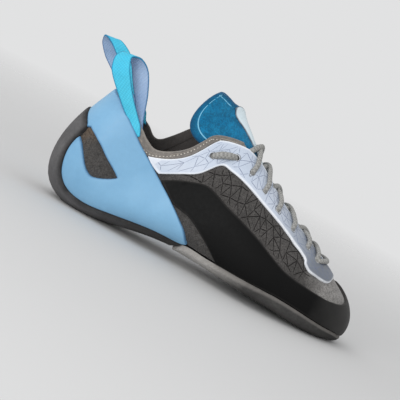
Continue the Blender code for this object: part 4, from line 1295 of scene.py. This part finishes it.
def pull_loop(name, side, spot, rise, lean, node):
    """Webbing between its two rails, straight across its width and thickened by a Solidify modifier."""
    place = skin(np.array([spot[0]]), np.array([-side * spot[1]]))[0]
    bm = bmesh.new()
    uv = bm.loops.layers.uv.new("chart")
    gap = bm.verts.layers.float.new("edge")
    grid = []
    run = 0.0
    before = None
    for row in soft_curve(PULL_LOOP, [6] * (len(PULL_LOOP) - 1)):
        rear, front = (place + (x - lean * max(z - LOOP_KNEE, 0.0), side * y, z + rise)
                       for x, y, z in (row[:3], row[3:]))
        middle = (rear + front) / 2
        if before is not None:
            run += np.linalg.norm(middle - before)
        before = middle
        wide = np.linalg.norm(front - rear)
        line = []
        for k in range(STRANDS):
            share = k / (STRANDS - 1)
            vert = bm.verts.new(rear + (front - rear) * share)
            vert[gap] = min(share, 1 - share) * wide
            line.append((vert, run, share * wide))
        grid.append(line)
    for one, two in zip(grid, grid[1:]):
        for k in range(STRANDS - 1):
            corners = [one[k], one[k + 1], two[k + 1], two[k]]
            face = bm.faces.new([c[0] for c in corners])
            for loop, (_, s, t) in zip(face.loops, corners):
                loop[uv].uv = (s, t)
    bmesh.ops.recalc_face_normals(bm, faces=bm.faces[:])
    obj = piece(name, bm, [WEBBING_OUT, WEBBING_IN], [node], sharp=1.2)
    shell = obj.modifiers.new("webbing", "SOLIDIFY")
    shell.thickness = WEBBING_THICK
    shell.offset = 0.0
    shell.material_offset = 1
    shell.material_offset_rim = 0


pull_loop("shoe_pull_loop_outer", 1, LOOP_SPOT_OUTER, 0.0, 0.0, "pull_loop_outer")
pull_loop("shoe_pull_loop_inner", -1, LOOP_SPOT_INNER, LOOP_RISE, LOOP_LEAN, "pull_loop_inner")

# %% [markdown]
# The stage: a pale floor that fades into the background, and soft light from above the picture.

# %% Floor, light and background
FLOOR_RADIUS = 1.2
FLOOR_CENTRE_X = 0.08
FADE_START = 0.25
FADE_WIDTH = 0.8
world = bpy.data.worlds.new("studio")
bpy.context.scene.world = world
world.use_nodes = True
backdrop = world.node_tree.nodes["Background"]
backdrop.inputs["Color"].default_value = (0.755, 0.758, 0.762, 1.0)
backdrop.inputs["Strength"].default_value = 1.0
bpy.context.scene.view_settings.view_transform = "Standard"

floor_bm = bmesh.new()
bmesh.ops.create_circle(floor_bm, cap_ends=True, segments=96, radius=FLOOR_RADIUS,
                        matrix=Matrix.Translation((FLOOR_CENTRE_X, 0.0, -0.0001)))
floor_mesh = bpy.data.meshes.new("floor")
floor_bm.to_mesh(floor_mesh)
floor_bm.free()
floor = bpy.data.objects.new("floor", floor_mesh)
bpy.context.scene.collection.objects.link(floor)
floor_material = bpy.data.materials.new("floor")
floor_material.use_nodes = True
tree = floor_material.node_tree
shader = tree.nodes["Principled BSDF"]
shader.inputs["Base Color"].default_value = (0.64, 0.64, 0.64, 1.0)
shader.inputs["Roughness"].default_value = 0.9
shader.inputs["Specular IOR Level"].default_value = 0.2
where = tree.nodes.new("ShaderNodeTexCoord").outputs["Object"]
centred = tree.nodes.new("ShaderNodeVectorMath")
centred.operation = "SUBTRACT"
centred.inputs[1].default_value = (FLOOR_CENTRE_X, 0.0, 0.0)
tree.links.new(where, centred.inputs[0])
length = tree.nodes.new("ShaderNodeVectorMath")
length.operation = "LENGTH"
tree.links.new(centred.outputs[0], length.inputs[0])
beyond = maths(tree, "SUBTRACT", length.outputs["Value"], FADE_START)
fade = maths(tree, "SUBTRACT", 1.0, maths(tree, "DIVIDE", beyond, FADE_WIDTH), clamp=True)
tree.links.new(fade, shader.inputs["Alpha"])
floor_mesh.materials.append(floor_material)


def soft_light(name, direction, distance, size, power):
    """A round area light, aimed at the middle of the picture."""
    data = bpy.data.lights.new(name, "AREA")
    data.shape = "DISK"
    data.size = size
    data.energy = power
    lamp = bpy.data.objects.new(name, data)
    bpy.context.scene.collection.objects.link(lamp)
    direction = direction.normalized()
    lamp.location = VIEW_CENTRE + direction * distance
    lamp.rotation_euler = direction.to_track_quat("Z", "Y").to_euler()


soft_light("key", photo_up * 1.0 + back * 0.65 - photo_right * 0.15, 1.2, 0.9, 2.6)
soft_light("fill", back * 1.0 - photo_right * 0.35 + photo_up * 0.30, 1.4, 0.6, 7.6)
print("lights:", len(bpy.data.lights))
